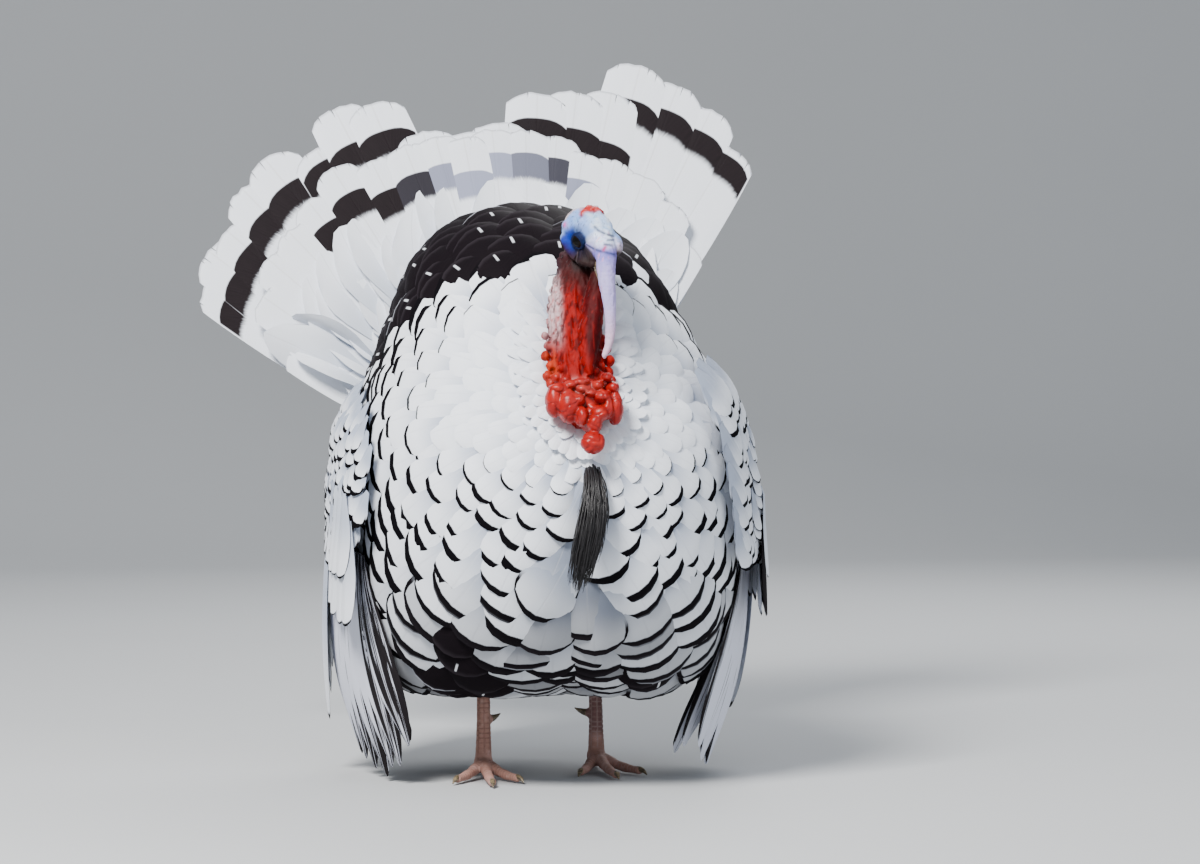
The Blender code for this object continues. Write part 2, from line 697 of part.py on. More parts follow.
def build_wing(side, sign, trunk):
    coverts = build_wing_coverts(side, sign)
    for k, (degrees, length) in enumerate(PRIMARIES):
        root = (WRIST[0] + PRIMARY_ROOT_STEP[0] * k, WRIST[1] - PRIMARY_ROOT_DROP + PRIMARY_ROOT_STEP[1] * k)
        rings = wing_blade(root, degrees, length, PRIMARY_HALF_WIDTH, QUILL_LIFTS[k])
        mesh = loft([[mirrored(point, sign) for point in ring] for ring in rings])
        add_object(f"wing_{side}_primary_{k + 1}", mesh, BLACK)
    secondaries = build_secondaries(side, sign)
    fit_to(secondaries, coverts)
    for part in trunk.values():
        fit_to(part, coverts)


def build_secondaries(side, sign):
    """The broad feathers between the quills and the tail, one sheet with a scalloped lower edge."""
    rings = []
    for k in range(SECONDARY_STEPS + 1):
        u = k / SECONDARY_STEPS
        angle = math.radians(between(SECONDARY_ANGLES, u))
        root = (between(SECONDARY_ROOT_Y, u), between(SECONDARY_ROOT_Z, u))
        length = between(SECONDARY_LENGTHS, u) * (1 - SECONDARY_SCALLOP * (1 - k % 2))
        inner, outer = [], []
        for j in range(4):
            t = j / 3
            y, z = root[0] + length * t * math.sin(angle), root[1] - length * t * math.cos(angle)
            thick = VANE + SECONDARY_PAD * (1 - t)
            inner.append(mirrored(wing_surface(y, z, SECONDARY_LIFT), sign))
            outer.append(mirrored(wing_surface(y, z, SECONDARY_LIFT + thick), sign))
        rings.append(inner + outer[::-1])
    return add_object(f"wing_{side}_secondaries", loft(rings), WHITE)


def toe_mesh(ankle, outward, degrees, length):
    """A jointed toe with a claw, curving down to the floor and cut flat along it."""
    angle = math.radians(degrees)
    ahead = Vector((outward * math.sin(angle), -math.cos(angle), 0))
    path, radii = [], []
    for k in range(TOE_KNUCKLES + 1):
        t = k / TOE_KNUCKLES
        swell = 1 + 0.10 * math.cos(6 * math.pi * t)
        height = TOE_MIDDLE_Z + TOE_ARCH * (1 - t) ** 2.2
        path.append(Vector(ankle) + ahead * length * t + Vector((0, 0, height)))
        radii.append(TOE_RADIUS * swell * (1 - 0.42 * t))
    for t in (0.5, 1.0):
        height = TOE_MIDDLE_Z + 0.0002 - 0.0030 * t * t
        path.append(Vector(ankle) + ahead * (length + CLAW_LENGTH * t) + Vector((0, 0, height)))
        radii.append(TOE_RADIUS * 0.50 * (1 - t) + VANE)
    return keep_side(tube_loft(path, radii, 7), (0, 0, -GAP / 2), (0, 0, 1), "toe")


def build_leg(side, sign, ankle_y, trunk):
    ankle = (sign * LEG_SPREAD, ankle_y, 0.0)
    thigh = join_lumps(f"thigh_{side}", [((sign * THIGH_SIDE, ankle_y - 0.004, THIGH_Z), THIGH_SIZES)], BLACK)
    toes = [toe_mesh(ankle, sign, degrees, length) for degrees, length in TOES.values()]
    foot = add_object(f"foot_{side}", toes[0], LEG_BROWN)
    for k, mesh in enumerate(toes[1:]):
        add_boolean(foot, make_cutter(f"toe_{side}_{k}", mesh), "UNION")
    pad_mesh = tube_loft([ankle, (ankle[0], ankle[1], ANKLE_Z)], [PAD_RADIUS, SHANK_RADIUS * 1.15], 8)
    add_boolean(foot, make_cutter(f"pad_{side}", pad_mesh), "UNION")
    shank_path, shank_radii = [], []
    for k in range(7):
        t = k / 6
        height = ANKLE_Z + GAP + (SHANK_TOP_Z - ANKLE_Z) * t
        shank_path.append((ankle[0] - sign * 0.001 * t, ankle[1] + SHANK_LEAN * t * t, height))
        shank_radii.append(SHANK_RADIUS * (1.10 - 0.22 * math.sin(math.pi * min(1, t * 1.15))))
    shank = add_object(f"shank_{side}", tube_loft(shank_path, shank_radii, 10), LEG_BROWN)
    fit_to(shank, thigh)
    spur_path = []
    for t in (0.0, 0.5, 1.0):
        spur_x = ankle[0] - sign * (0.004 + 0.013 * t)
        spur_path.append((spur_x, ankle[1] + 0.004 + 0.010 * t, SPUR_Z + 0.003 * t * t))
    spur = add_object(f"spur_{side}", tube_loft(spur_path, SPUR_RADII, 8), HORN)
    fit_to(spur, shank)
    fit_to(trunk["belly"], thigh, shank)
    fit_to(trunk["breast"], thigh)
    fit_to(trunk["rump"], thigh)


def centre_on_floor():
    """Moves everything so that the origin is the middle of the box's base."""
    graph = bpy.context.evaluated_depsgraph_get()
    graph.update()
    corners = []
    for obj in turkey.objects:
        corners += [obj.matrix_world @ Vector(corner) for corner in obj.evaluated_get(graph).bound_box]
    middle_x = (min(c.x for c in corners) + max(c.x for c in corners)) / 2
    middle_y = (min(c.y for c in corners) + max(c.y for c in corners)) / 2
    shift = Matrix.Translation((-middle_x, -middle_y, 0))
    for obj in list(turkey.objects) + list(cutters.objects):
        obj.data.transform(shift)


clear_scene()
turkey = new_collection("strutting_turkey")
cutters = new_collection("cutters")
body = build_trunk()
build_neck_and_face(body)
build_tail(body)
for wing_side, wing_sign in (("right", -1), ("left", 1)):
    build_wing(wing_side, wing_sign, body)
for leg_side, (leg_sign, leg_y) in LEGS.items():
    build_leg(leg_side, leg_sign, leg_y, body)
centre_on_floor()
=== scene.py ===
"""Looks of the strutting domestic turkey tom: skin, plumage, tail fan, quills, face, bill, beard and legs.

Metres, +Z up; the bird faces -Y and its left side is +X. Places are given from the bird's own middle line and
are moved to the CAD part's frame by at() or SHIFT. Colours are linear. All chance comes from one seeded
generator, so that the order of the pieces at the end matters.
"""

import math

import bpy
import numpy as np
from mathutils import Matrix, Vector
from mathutils.bvhtree import BVHTree


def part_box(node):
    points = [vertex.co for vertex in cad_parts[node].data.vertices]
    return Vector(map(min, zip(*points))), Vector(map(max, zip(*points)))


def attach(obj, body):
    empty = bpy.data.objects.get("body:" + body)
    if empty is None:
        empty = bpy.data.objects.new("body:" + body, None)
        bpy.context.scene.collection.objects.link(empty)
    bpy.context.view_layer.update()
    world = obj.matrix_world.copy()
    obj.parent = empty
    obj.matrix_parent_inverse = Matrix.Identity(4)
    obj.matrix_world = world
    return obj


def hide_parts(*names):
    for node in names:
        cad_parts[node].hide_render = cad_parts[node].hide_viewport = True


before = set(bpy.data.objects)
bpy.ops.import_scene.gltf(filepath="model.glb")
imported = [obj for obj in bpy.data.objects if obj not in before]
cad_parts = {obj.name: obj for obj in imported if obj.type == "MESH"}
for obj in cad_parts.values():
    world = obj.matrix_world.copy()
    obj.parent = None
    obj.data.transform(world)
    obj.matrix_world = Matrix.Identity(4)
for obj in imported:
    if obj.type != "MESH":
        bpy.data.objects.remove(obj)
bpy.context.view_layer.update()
random = np.random.default_rng(11)

# -------------------------------------------------------------------------------- placing

SHANK_FRONT = -0.03195  # how far ahead of the bird's own origin the right shank's front lies
MID_X = (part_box("shank_left")[0].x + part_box("shank_right")[1].x) / 2
MID_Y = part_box("shank_right")[0].y - SHANK_FRONT
SHIFT = np.array([MID_X, MID_Y, 0.0])


def at(x, y, z):
    return np.array([x, y, z]) + SHIFT


# -------------------------------------------------------------------------------- small tools


def unit(v):
    v = np.asarray(v, float)
    return v / np.maximum(np.linalg.norm(v, axis=-1, keepdims=True), 1e-12)


def smoothstep(low, high, x):
    t = np.clip((np.asarray(x, float) - low) / (high - low), 0, 1)
    return t * t * (3 - 2 * t)


def hill(x, width):
    """A bell curve, 1 at the middle."""
    return np.exp(-((x / width) ** 2))


def table(rows, where):
    """Every other column of a table at values of its first column."""
    rows = np.asarray(sorted(rows), float)
    return np.stack([np.interp(where, rows[:, 0], rows[:, k]) for k in range(1, rows.shape[1])], axis=-1)


def turned(v, axis, angle):
    """Vectors turned about unit axes by angles."""
    cosine, sine = np.cos(angle)[..., None], np.sin(angle)[..., None]
    along = (v * axis).sum(-1, keepdims=True) * axis
    return v * cosine + np.cross(axis, v) * sine + along * (1 - cosine)


def cell_hash(cells, seed):
    """A scattered whole number for every lattice cell."""
    h = (cells[:, 0] * 73856093) ^ (cells[:, 1] * 19349663) ^ (cells[:, 2] * 83492791) ^ (seed * 2654435761)
    h = (h ^ (h >> 13)) * 1274126177
    return h ^ (h >> 16)


def hash_noise(points, scale, seed):
    """Smooth value noise in -1..1 at points, by trilinear blending of hashed lattice values."""
    p = np.asarray(points, float) / scale
    cell = np.floor(p).astype(np.int64)
    f = p - cell
    f = f * f * (3 - 2 * f)
    total = np.zeros(len(p))
    for corner in np.ndindex(2, 2, 2):
        value = (cell_hash(cell + corner, seed) & 0xFFFF) / 32767.5 - 1
        x, y, z = np.where(corner, f, 1 - f).T
        total += value * (x * y) * z
    return total


def cell_noise(points, scale, seed):
    """Distance to the nearest of scattered points, in units of the scale: 0 at a pebble's middle."""
    p = np.asarray(points, float) / scale
    cell = np.floor(p).astype(np.int64)
    best = np.full(len(p), 9.0)
    for corner in np.ndindex(3, 3, 3):
        near_cell = cell + corner - 1
        h = cell_hash(near_cell, seed)
        spot = np.stack([(h & 1023), ((h >> 10) & 1023), ((h >> 20) & 1023)], axis=1) / 1023.0
        best = np.minimum(best, ((near_cell + spot - p) ** 2).sum(1))
    return np.sqrt(best)


def turns(count):
    """Equal steps once round a circle, without the last."""
    return np.linspace(0, 2 * math.pi, count, endpoint=False)


def boxed(wave, power):
    """A sine or cosine drawn out towards the corners of a box, by a power below 1."""
    return np.sign(wave) * np.abs(wave) ** power


def build_mesh(name, points, faces):
    """A smooth mesh from an array of points and an array of faces that all have equally many corners."""
    points = np.ascontiguousarray(points, np.float32)
    faces = np.ascontiguousarray(faces, np.int32)
    mesh = bpy.data.meshes.new(name)
    mesh.vertices.add(len(points))
    mesh.vertices.foreach_set("co", points.ravel())
    mesh.loops.add(faces.size)
    mesh.loops.foreach_set("vertex_index", faces.ravel())
    mesh.polygons.add(len(faces))
    mesh.polygons.foreach_set("loop_start", np.arange(len(faces), dtype=np.int32) * faces.shape[1])
    mesh.polygons.foreach_set("use_smooth", np.ones(len(faces), bool))
    mesh.update(calc_edges=True)
    return mesh


def mesh_points(mesh):
    points = np.empty(len(mesh.vertices) * 3, np.float32)
    mesh.vertices.foreach_get("co", points)
    return points.reshape(-1, 3).astype(float)


def mesh_normals(mesh):
    normals = np.empty(len(mesh.vertices) * 3, np.float32)
    mesh.vertex_normals.foreach_get("vector", normals)
    return normals.reshape(-1, 3).astype(float)


def mesh_edges(mesh):
    edges = np.empty(len(mesh.edges) * 2, np.int32)
    mesh.edges.foreach_get("vertices", edges)
    return edges.reshape(-1, 2)


def set_points(mesh, points):
    mesh.vertices.foreach_set("co", np.ascontiguousarray(points, np.float32).ravel())
    mesh.update()


def relaxed(points, edges, rounds, share=0.5, weight=None):
    """Points moved towards the mean of their neighbours."""
    count = np.bincount(edges.ravel(), minlength=len(points)).astype(float)
    share = share if weight is None else share * weight[:, None]
    for _ in range(rounds):
        mean = np.empty_like(points)
        for k in range(3):
            near = np.bincount(edges[:, 0], points[edges[:, 1], k], len(points))
            mean[:, k] = near + np.bincount(edges[:, 1], points[edges[:, 0], k], len(points))
        points = points + share * (mean / count[:, None] - points)
    return points


def add_piece(name, mesh, material, replaced=()):
    obj = bpy.data.objects.new(name, mesh)
    bpy.context.scene.collection.objects.link(obj)
    mesh.materials.append(material)
    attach(obj, "root")
    if replaced:
        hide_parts(*replaced)
    return obj


def colour_attribute(mesh, name, values):
    made = mesh.attributes.new(name, "FLOAT_COLOR", "POINT")
    made.data.foreach_set("color", np.ascontiguousarray(values, np.float32).ravel())


def opaque(colours):
    """Colours with a full fourth value."""
    return np.concatenate([colours, np.ones((len(colours), 1))], axis=1)


def corner_uv(mesh, name, values):
    """A UV map from a value for each vertex."""
    corner = np.empty(len(mesh.loops), np.int32)
    mesh.loops.foreach_get("vertex_index", corner)
    layer = mesh.uv_layers.new(name=name)
    layer.uv.foreach_set("vector", np.ascontiguousarray(values[corner], np.float32).ravel())


# -------------------------------------------------------------------------------- materials


class Nodes:
    """Short hand for building a material's node tree."""

    def __init__(self, name):
        self.material = bpy.data.materials.new(name)
        self.material.use_nodes = True
        self.tree = self.material.node_tree
        self.shader = self.tree.nodes["Principled BSDF"]

    def plug(self, socket, value):
        if isinstance(value, bpy.types.NodeSocket):
            self.tree.links.new(value, socket)
        elif isinstance(value, (tuple, list)) and len(value) == 3 and socket.type == "RGBA":
            socket.default_value = (*value, 1.0)
        else:
            socket.default_value = value

    def math(self, operation, a, b=0.0, c=0.0, clamp=False):
        node = self.tree.nodes.new("ShaderNodeMath")
        node.operation = operation
        node.use_clamp = clamp
        for socket, value in zip(node.inputs, (a, b, c)):
            self.plug(socket, value)
        return node.outputs[0]

    def times(self, a, b):
        return self.math("MULTIPLY", a, b)

    def plus(self, a, b):
        return self.math("ADD", a, b)

    def minus(self, a, b):
        return self.math("SUBTRACT", a, b)

    def scaled(self, value, by, offset, clamp=False):
        return self.math("MULTIPLY_ADD", value, by, offset, clamp)

    def most(self, a, b):
        return self.math("MAXIMUM", a, b)

    def step(self, value, low, high):
        """Smoothstep from low to high."""
        node = self.tree.nodes.new("ShaderNodeMapRange")
        node.interpolation_type = "SMOOTHSTEP"
        self.plug(node.inputs["Value"], value)
        self.plug(node.inputs["From Min"], low)
        self.plug(node.inputs["From Max"], high)
        return node.outputs["Result"]

    def mix(self, share, a, b, blend="MIX"):
        node = self.tree.nodes.new("ShaderNodeMix")
        node.data_type = "RGBA"
        node.blend_type = blend
        self.plug(node.inputs["Factor"], share)
        self.plug(node.inputs["A"], a)
        self.plug(node.inputs["B"], b)
        return node.outputs["Result"]

    def attribute(self, name):
        node = self.tree.nodes.new("ShaderNodeAttribute")
        node.attribute_name = name
        return node

    def parts(self, colour):
        node = self.tree.nodes.new("ShaderNodeSeparateColor")
        self.plug(node.inputs[0], colour)
        return node.outputs

    def uv(self, name):
        node = self.tree.nodes.new("ShaderNodeUVMap")
        node.uv_map = name
        return node.outputs[0]

    def xyz(self, vector):
        node = self.tree.nodes.new("ShaderNodeSeparateXYZ")
        self.plug(node.inputs[0], vector)
        return node.outputs

    def vector(self, x, y, z):
        node = self.tree.nodes.new("ShaderNodeCombineXYZ")
        for socket, value in zip(node.inputs, (x, y, z)):
            self.plug(socket, value)
        return node.outputs[0]

    def vane(self):
        """Place along and across a feather, distance from its shaft, and the three values of its look."""
        along, side, _ = self.xyz(self.uv("vane"))
        across = self.scaled(side, 2.0, -1.0)
        look = self.parts(self.attribute("look").outputs["Color"])
        return along, across, self.math("ABSOLUTE", across), look

    def place(self):
        return self.tree.nodes.new("ShaderNodeTexCoord").outputs["Object"]

    def noise(self, vector, scale, detail=3.0, roughness=0.55, distortion=0.0):
        node = self.tree.nodes.new("ShaderNodeTexNoise")
        self.plug(node.inputs["Vector"], vector)
        settings = {"Scale": scale, "Detail": detail, "Roughness": roughness, "Distortion": distortion}
        for name, value in settings.items():
            self.plug(node.inputs[name], value)
        return node.outputs["Fac"]

    def cells(self, vector, scale):
        node = self.tree.nodes.new("ShaderNodeTexVoronoi")
        self.plug(node.inputs["Vector"], vector)
        self.plug(node.inputs["Scale"], scale)
        return node.outputs["Distance"]

    def bump(self, height, strength, distance):
        node = self.tree.nodes.new("ShaderNodeBump")
        self.plug(node.inputs["Strength"], strength)
        self.plug(node.inputs["Distance"], distance)
        self.plug(node.inputs["Height"], height)
        self.plug(self.shader.inputs["Normal"], node.outputs[0])

    def finish(self, colour, roughness, **others):
        self.plug(self.shader.inputs["Base Color"], colour)
        self.plug(self.shader.inputs["Roughness"], roughness)
        for name, value in others.items():
            self.plug(self.shader.inputs[name.replace("_", " ")], value)
        return self.material


WHITE_TIP = (0.84, 0.87, 0.93)
# painted shade at a white feather's root, where the row above covers it
WHITE_ROOT_SHADE = (0.34, 0.39, 0.50)
BLACK_VANE = (0.0040, 0.0034, 0.0045)


def vane_relief(n, along, across, barbs, waves):
    """A vane's relief: fine barbs, which run outwards and forwards, and the shaft; also its two masks."""
    away = n.math("ABSOLUTE", across)
    slant = n.scaled(away, -0.30, along)
    ripple = n.math("SINE", n.times(slant, barbs * 6.283))
    broken = n.noise(n.vector(n.times(slant, waves), n.times(across, 0.6), 0.0), 1.0, 2.0)
    shaft = n.minus(1.0, n.step(away, 0.0, 0.05))
    height = n.scaled(ripple, 0.22, n.times(broken, 1.2))
    return n.scaled(shaft, 1.2, height), shaft, broken


def feather_material():
    """White or black body feathers. Their look: width of the black edge, a chance value, blackness; on white
    feathers this is painted shade.
    """
    n = Nodes("body_feather")
    along, across, away, (edge, chance, black) = n.vane()
    height, shaft, broken = vane_relief(n, along, across, 80.0, 50.0)
    ragged = n.scaled(broken, 0.022, -0.011)
    reach = n.plus(along, ragged)
    inner = n.minus(1.0, edge)
    tip = n.step(reach, n.minus(inner, 0.012), n.plus(inner, 0.006))
    beside = n.plus(away, ragged)
    flank = n.step(beside, n.scaled(edge, -1.1, 0.985), n.scaled(edge, -1.1, 1.01))
    tip = n.most(tip, n.times(flank, n.step(along, 0.50, 0.72)))
    tip = n.times(tip, n.step(edge, 0.002, 0.006))
    grey = n.scaled(n.noise(n.vector(n.times(along, 3.0), across, chance), 2.0), 0.16, -0.08)
    # white feathers darken towards the root with painted shade, where the next row covers them
    root = n.mix(n.step(edge, 0.0, 0.05), (0.60, 0.65, 0.74), WHITE_ROOT_SHADE)
    white = n.mix(n.step(along, 0.28, 0.86), root, WHITE_TIP)
    white = n.mix(n.scaled(grey, 1.0, 0.10, clamp=True), white, (0.48, 0.52, 0.60))
    white = n.mix(n.times(shaft, 0.35), white, (0.62, 0.64, 0.70))
    tick = n.times(n.step(away, 0.050, 0.025), n.step(chance, 0.50, 0.51))
    tick = n.times(tick, n.times(n.step(along, 0.80, 0.84), n.step(along, 0.96, 0.93)))
    dark = n.mix(broken, BLACK_VANE, (0.010, 0.007, 0.009))
    dark = n.mix(n.times(n.step(along, 0.90, 1.0), 0.5), dark, (0.030, 0.025, 0.030))
    dark = n.mix(n.times(tick, 0.9), dark, (0.62, 0.64, 0.68))
    rim = n.times(n.step(along, 0.972, 0.99), n.minus(1.0, n.step(chance, 0.10, 0.14)))
    dark = n.mix(n.times(rim, 0.7), dark, (0.50, 0.52, 0.58))
    colour = n.mix(tip, white, BLACK_VANE)
    # on white feathers the third look value is painted shade, which darkens the low rows towards black
    colour = n.mix(black, colour, dark)
    darkness = n.most(tip, black)
    n.bump(n.times(height, n.scaled(darkness, -0.6, 1.0)), 0.20, 0.0005)
    roughness = n.scaled(darkness, -0.10, 0.70)
    sheen = n.scaled(darkness, -0.12, 0.12)
    gloss = n.scaled(darkness, -0.09, 0.11)
    return n.finish(colour, roughness, Sheen_Weight=sheen, Sheen_Roughness=0.5, Specular_IOR_Level=gloss)


def tail_material():
    """Tail feathers and large coverts. Their look: the band's middle, its half height, and its greyness, a
    painted shade that dims a band lying behind white feathers.
    """
    n = Nodes("tail_feather")
    along, across, away, (middle, half, grey) = n.vane()
    height, shaft, _ = vane_relief(n, along, across, 150.0, 110.0)
    fine = n.noise(n.vector(n.scaled(away, -16.0, n.times(along, 60.0)), across, 0.0), 3.0, 4.0)
    fringe = n.scaled(fine, 0.030, -0.015)
    low = n.minus(middle, half)
    high = n.plus(middle, half)
    above = n.step(n.plus(along, fringe), n.minus(low, 0.012), n.plus(low, 0.012))
    below = n.step(along, n.plus(high, 0.003), n.minus(high, 0.003))
    band = n.times(n.times(above, below), n.step(away, 0.985, 0.93))
    band = n.times(band, n.step(half, 0.001, 0.004))
    rim = n.times(n.step(along, 0.990, 0.999), 0.55)
    cloud = n.noise(n.vector(n.times(along, 5.0), across, 0.0), 1.5)
    white = n.mix(n.times(cloud, 0.22), WHITE_TIP, (0.66, 0.70, 0.78))
    white = n.mix(n.times(shaft, 0.5), white, (0.66, 0.66, 0.68))
    ink = n.mix(fine, (0.004, 0.003, 0.004), (0.018, 0.012, 0.014))
    # grey bands are painted shade: black bands dimmed as if seen through the white feathers over them
    ink = n.mix(grey, ink, (0.30, 0.32, 0.43))
    colour = n.mix(band, white, ink)
    colour = n.mix(rim, colour, (0.30, 0.31, 0.34))
    n.bump(height, 0.30, 0.0006)
    return n.finish(colour, 0.68, Specular_IOR_Level=0.12)


def quill_material():
    """Black wing quills with pale streaks. Their look: how pale, a chance value, the tip's black edge."""
    n = Nodes("quill_feather")
    along, across, _, (pale, chance, edge) = n.vane()
    height, shaft, broken = vane_relief(n, along, across, 90.0, 60.0)
    streak = n.noise(n.vector(n.times(along, 1.2), n.times(across, 5.0), chance), 1.0, 3.0, 0.5)
    where = n.scaled(streak, 0.16, n.minus(across, 0.08))
    white = n.step(where, n.scaled(pale, -2.0, 0.96), n.scaled(pale, -2.0, 1.02))
    thin = n.times(n.step(streak, 0.60, 0.63), n.step(streak, 0.68, 0.65))
    white = n.math("ABSOLUTE", n.minus(white, n.times(thin, 0.9)))
    white = n.most(white, n.times(shaft, 0.8))
    reach = n.plus(along, n.times(broken, 0.02))
    tip = n.step(reach, n.minus(1.01, edge), n.minus(1.03, edge))
    white = n.times(white, n.minus(1.0, tip))
    black = n.mix(broken, BLACK_VANE, (0.016, 0.012, 0.014))
    colour = n.mix(white, black, (0.66, 0.68, 0.78))
    n.bump(height, 0.3, 0.0006)
    return n.finish(colour, 0.55, Specular_IOR_Level=0.12)


def skin_material():
    """Bare skin, coloured by a vertex colour, with fine creases and a moist look."""
    n = Nodes("bare_skin")
    place = n.place()
    tint = n.attribute("tint").outputs["Color"]
    gloss, crease, _ = n.parts(n.attribute("finish").outputs["Color"])
    mottle = n.noise(place, 260.0, 4.0, 0.6)
    veins = n.noise(place, 700.0, 3.0, 0.55)
    deeper = n.mix(0.55, tint, n.mix(1.0, tint, tint, "MULTIPLY"))
    tone = n.mix(n.scaled(mottle, 0.9, -0.25, clamp=True), tint, deeper)
    veined = n.mix(1.0, tint, (0.55, 0.40, 0.45), "MULTIPLY")
    tone = n.mix(n.times(n.step(veins, 0.52, 0.72), 0.30), tone, veined)
    pebble = n.cells(place, 700.0)
    grain = n.noise(place, 1500.0, 3.0)
    height = n.scaled(n.times(pebble, crease), -1.2, n.times(grain, 0.5))
    n.bump(height, 0.25, 0.0005)
    roughness = n.scaled(gloss, -0.28, 0.66)
    return n.finish(
        tone,
        roughness,
        Subsurface_Weight=0.05,
        Subsurface_Radius=(0.006, 0.002, 0.0015),
        Subsurface_Scale=0.5,
        Specular_IOR_Level=n.scaled(gloss, 0.26, 0.08),
    )


def horn_material():
    n = Nodes("horn")
    stretched = [n.times(part, by) for part, by in zip(n.xyz(n.place()), (1.0, 1.0, 2.5))]
    grain = n.noise(n.vector(*stretched), 240.0, 3.0)
    tone = n.mix(n.step(grain, 0.35, 0.68), (0.060, 0.045, 0.026), (0.24, 0.18, 0.10))
    n.bump(grain, 0.25, 0.0006)
    return n.finish(tone, 0.34, Coat_Weight=0.25, Coat_Roughness=0.2)


def bristle_material():
    n = Nodes("beard_bristle")
    tone = n.mix(n.times(n.noise(n.place(), 300.0), 0.5), (0.004, 0.0035, 0.004), (0.040, 0.036, 0.040))
    n.bump(n.noise(n.place(), 2500.0), 0.2, 0.0003)
    return n.finish(tone, 0.42, Specular_IOR_Level=0.5)


def eye_material():
    """A dark brown iris round a black pupil, by the distance from the eye's own front, with a glossy finish.
    """
    n = Nodes("eye")
    away = n.parts(n.attribute("look").outputs["Color"])[0]
    fibres = n.noise(n.place(), 1800.0, 2.0)
    iris = n.mix(fibres, (0.003, 0.002, 0.0015), (0.009, 0.005, 0.003))
    colour = n.mix(n.step(away, 0.50, 0.56), (0.003, 0.003, 0.003), iris)
    colour = n.mix(n.step(away, 0.86, 0.95), colour, (0.012, 0.010, 0.012))
    n.bump(fibres, 0.05, 0.0002)
    return n.finish(colour, 0.07, Specular_IOR_Level=0.10)


def floor_material():
    n = Nodes("floor")
    cloud = n.noise(n.place(), 1.3)
    return n.finish(n.mix(cloud, (0.46, 0.47, 0.48), (0.49, 0.50, 0.51)), 0.85, Specular_IOR_Level=0.1)


# -------------------------------------------------------------------------------- body form

NECK = [  # height, side shift, middle front to back, half width, half depth
    (0.530, 0.0170, -0.1500, 0.0140, 0.0150),
    (0.514, 0.0150, -0.1545, 0.0200, 0.0215),
    (0.490, 0.0110, -0.1600, 0.0235, 0.0250),
    (0.460, 0.0060, -0.1700, 0.0255, 0.0275),
    (0.430, 0.0045, -0.1850, 0.0265, 0.0290),
    (0.400, 0.0040, -0.2020, 0.0260, 0.0290),
    (0.372, 0.0040, -0.2110, 0.0215, 0.0230),
    (0.352, 0.0040, -0.2130, 0.0120, 0.0150),
]
NECK_BED = [  # fills the trunk behind the neck, in the same terms
    (height, 0.0040, middle, 0.0310, 0.0200)
    for height, middle in (
        (0.345, -0.220), (0.360, -0.214), (0.380, -0.201), (0.400, -0.188),
        (0.420, -0.174), (0.440, -0.158), (0.460, -0.143), (0.480, -0.128),
    )
]
TRUNK_NODES = (
    "breast", "back", "belly", "rump", "thigh_left", "thigh_right", "tail_base", "under_tail_coverts",
)
COAT_DEPTH = 0.013
TRUNK_VOXEL = 0.0055


def merged(forms):
    """The points and faces of several forms in one array each."""
    points, faces, base = [], [], 0
    for form_points, form_faces in forms:
        points.append(form_points)
        faces.append(np.asarray(form_faces) + base)
        base += len(form_points)
    return np.concatenate(points), np.concatenate(faces)


def remeshed(forms, voxel):
    """One closed surface round several closed forms, each an array of points and one of faces."""
    obj = bpy.data.objects.new("forms", build_mesh("forms", *merged(forms)))
    bpy.context.scene.collection.objects.link(obj)
    modifier = obj.modifiers.new("remesh", "REMESH")
    modifier.mode = "VOXEL"
    modifier.voxel_size = voxel
    made = bpy.data.meshes.new_from_object(obj.evaluated_get(bpy.context.evaluated_depsgraph_get()))
    bpy.data.objects.remove(obj)
    return made


def node_form(name, swell=0.0006):
    """A CAD node's closed form, swollen a little so that neighbours merge."""
    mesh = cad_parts[name].data
    mesh.calc_loop_triangles()
    faces = np.empty(len(mesh.loop_triangles) * 3, np.int32)
    mesh.loop_triangles.foreach_get("vertices", faces)
    points = mesh_points(mesh)
    corners = points.round(7)
    same, index = np.unique(corners, axis=0, return_inverse=True)
    faces = index.reshape(-1)[faces].reshape(-1, 3)
    a, b, c = same[faces[:, 0]], same[faces[:, 1]], same[faces[:, 2]]
    turn = np.cross(b - a, c - a)
    normals = np.zeros_like(same)
    for k in range(3):
        np.add.at(normals, faces[:, k], turn)
    return same + swell * unit(normals), faces


def face_quads(mesh):
    corners = np.empty(len(mesh.loops), np.int32)
    mesh.loops.foreach_get("vertex_index", corners)
    return corners.reshape(-1, 4)


def trunk_form():
    """The body under its feathers: the CAD form, sunk by the coat's depth, with a shallow valley in front."""
    forms = [*(node_form(name) for name in TRUNK_NODES), column_form(NECK_BED, roundness=3.0)]
    mesh = remeshed(forms, TRUNK_VOXEL)
    points, edges = mesh_points(mesh), mesh_edges(mesh)
    points = relaxed(points, edges, 8)
    set_points(mesh, points)
    normals = mesh_normals(mesh)
    bird = points - SHIFT
    low = smoothstep(0.15, 0.09, bird[:, 2])
    depth = COAT_DEPTH * (1 - 0.45 * low)
    front = smoothstep(0.0, -0.14, bird[:, 1])
    valley = 0.007 * hill(bird[:, 0] - 0.004, 0.016) * smoothstep(0.315, 0.20, bird[:, 2]) * front
    points = points - normals * (depth + valley)[:, None]
    points = relaxed(points, edges, 6)
    set_points(mesh, points)
    return mesh


# -------------------------------------------------------------------------------- vanes


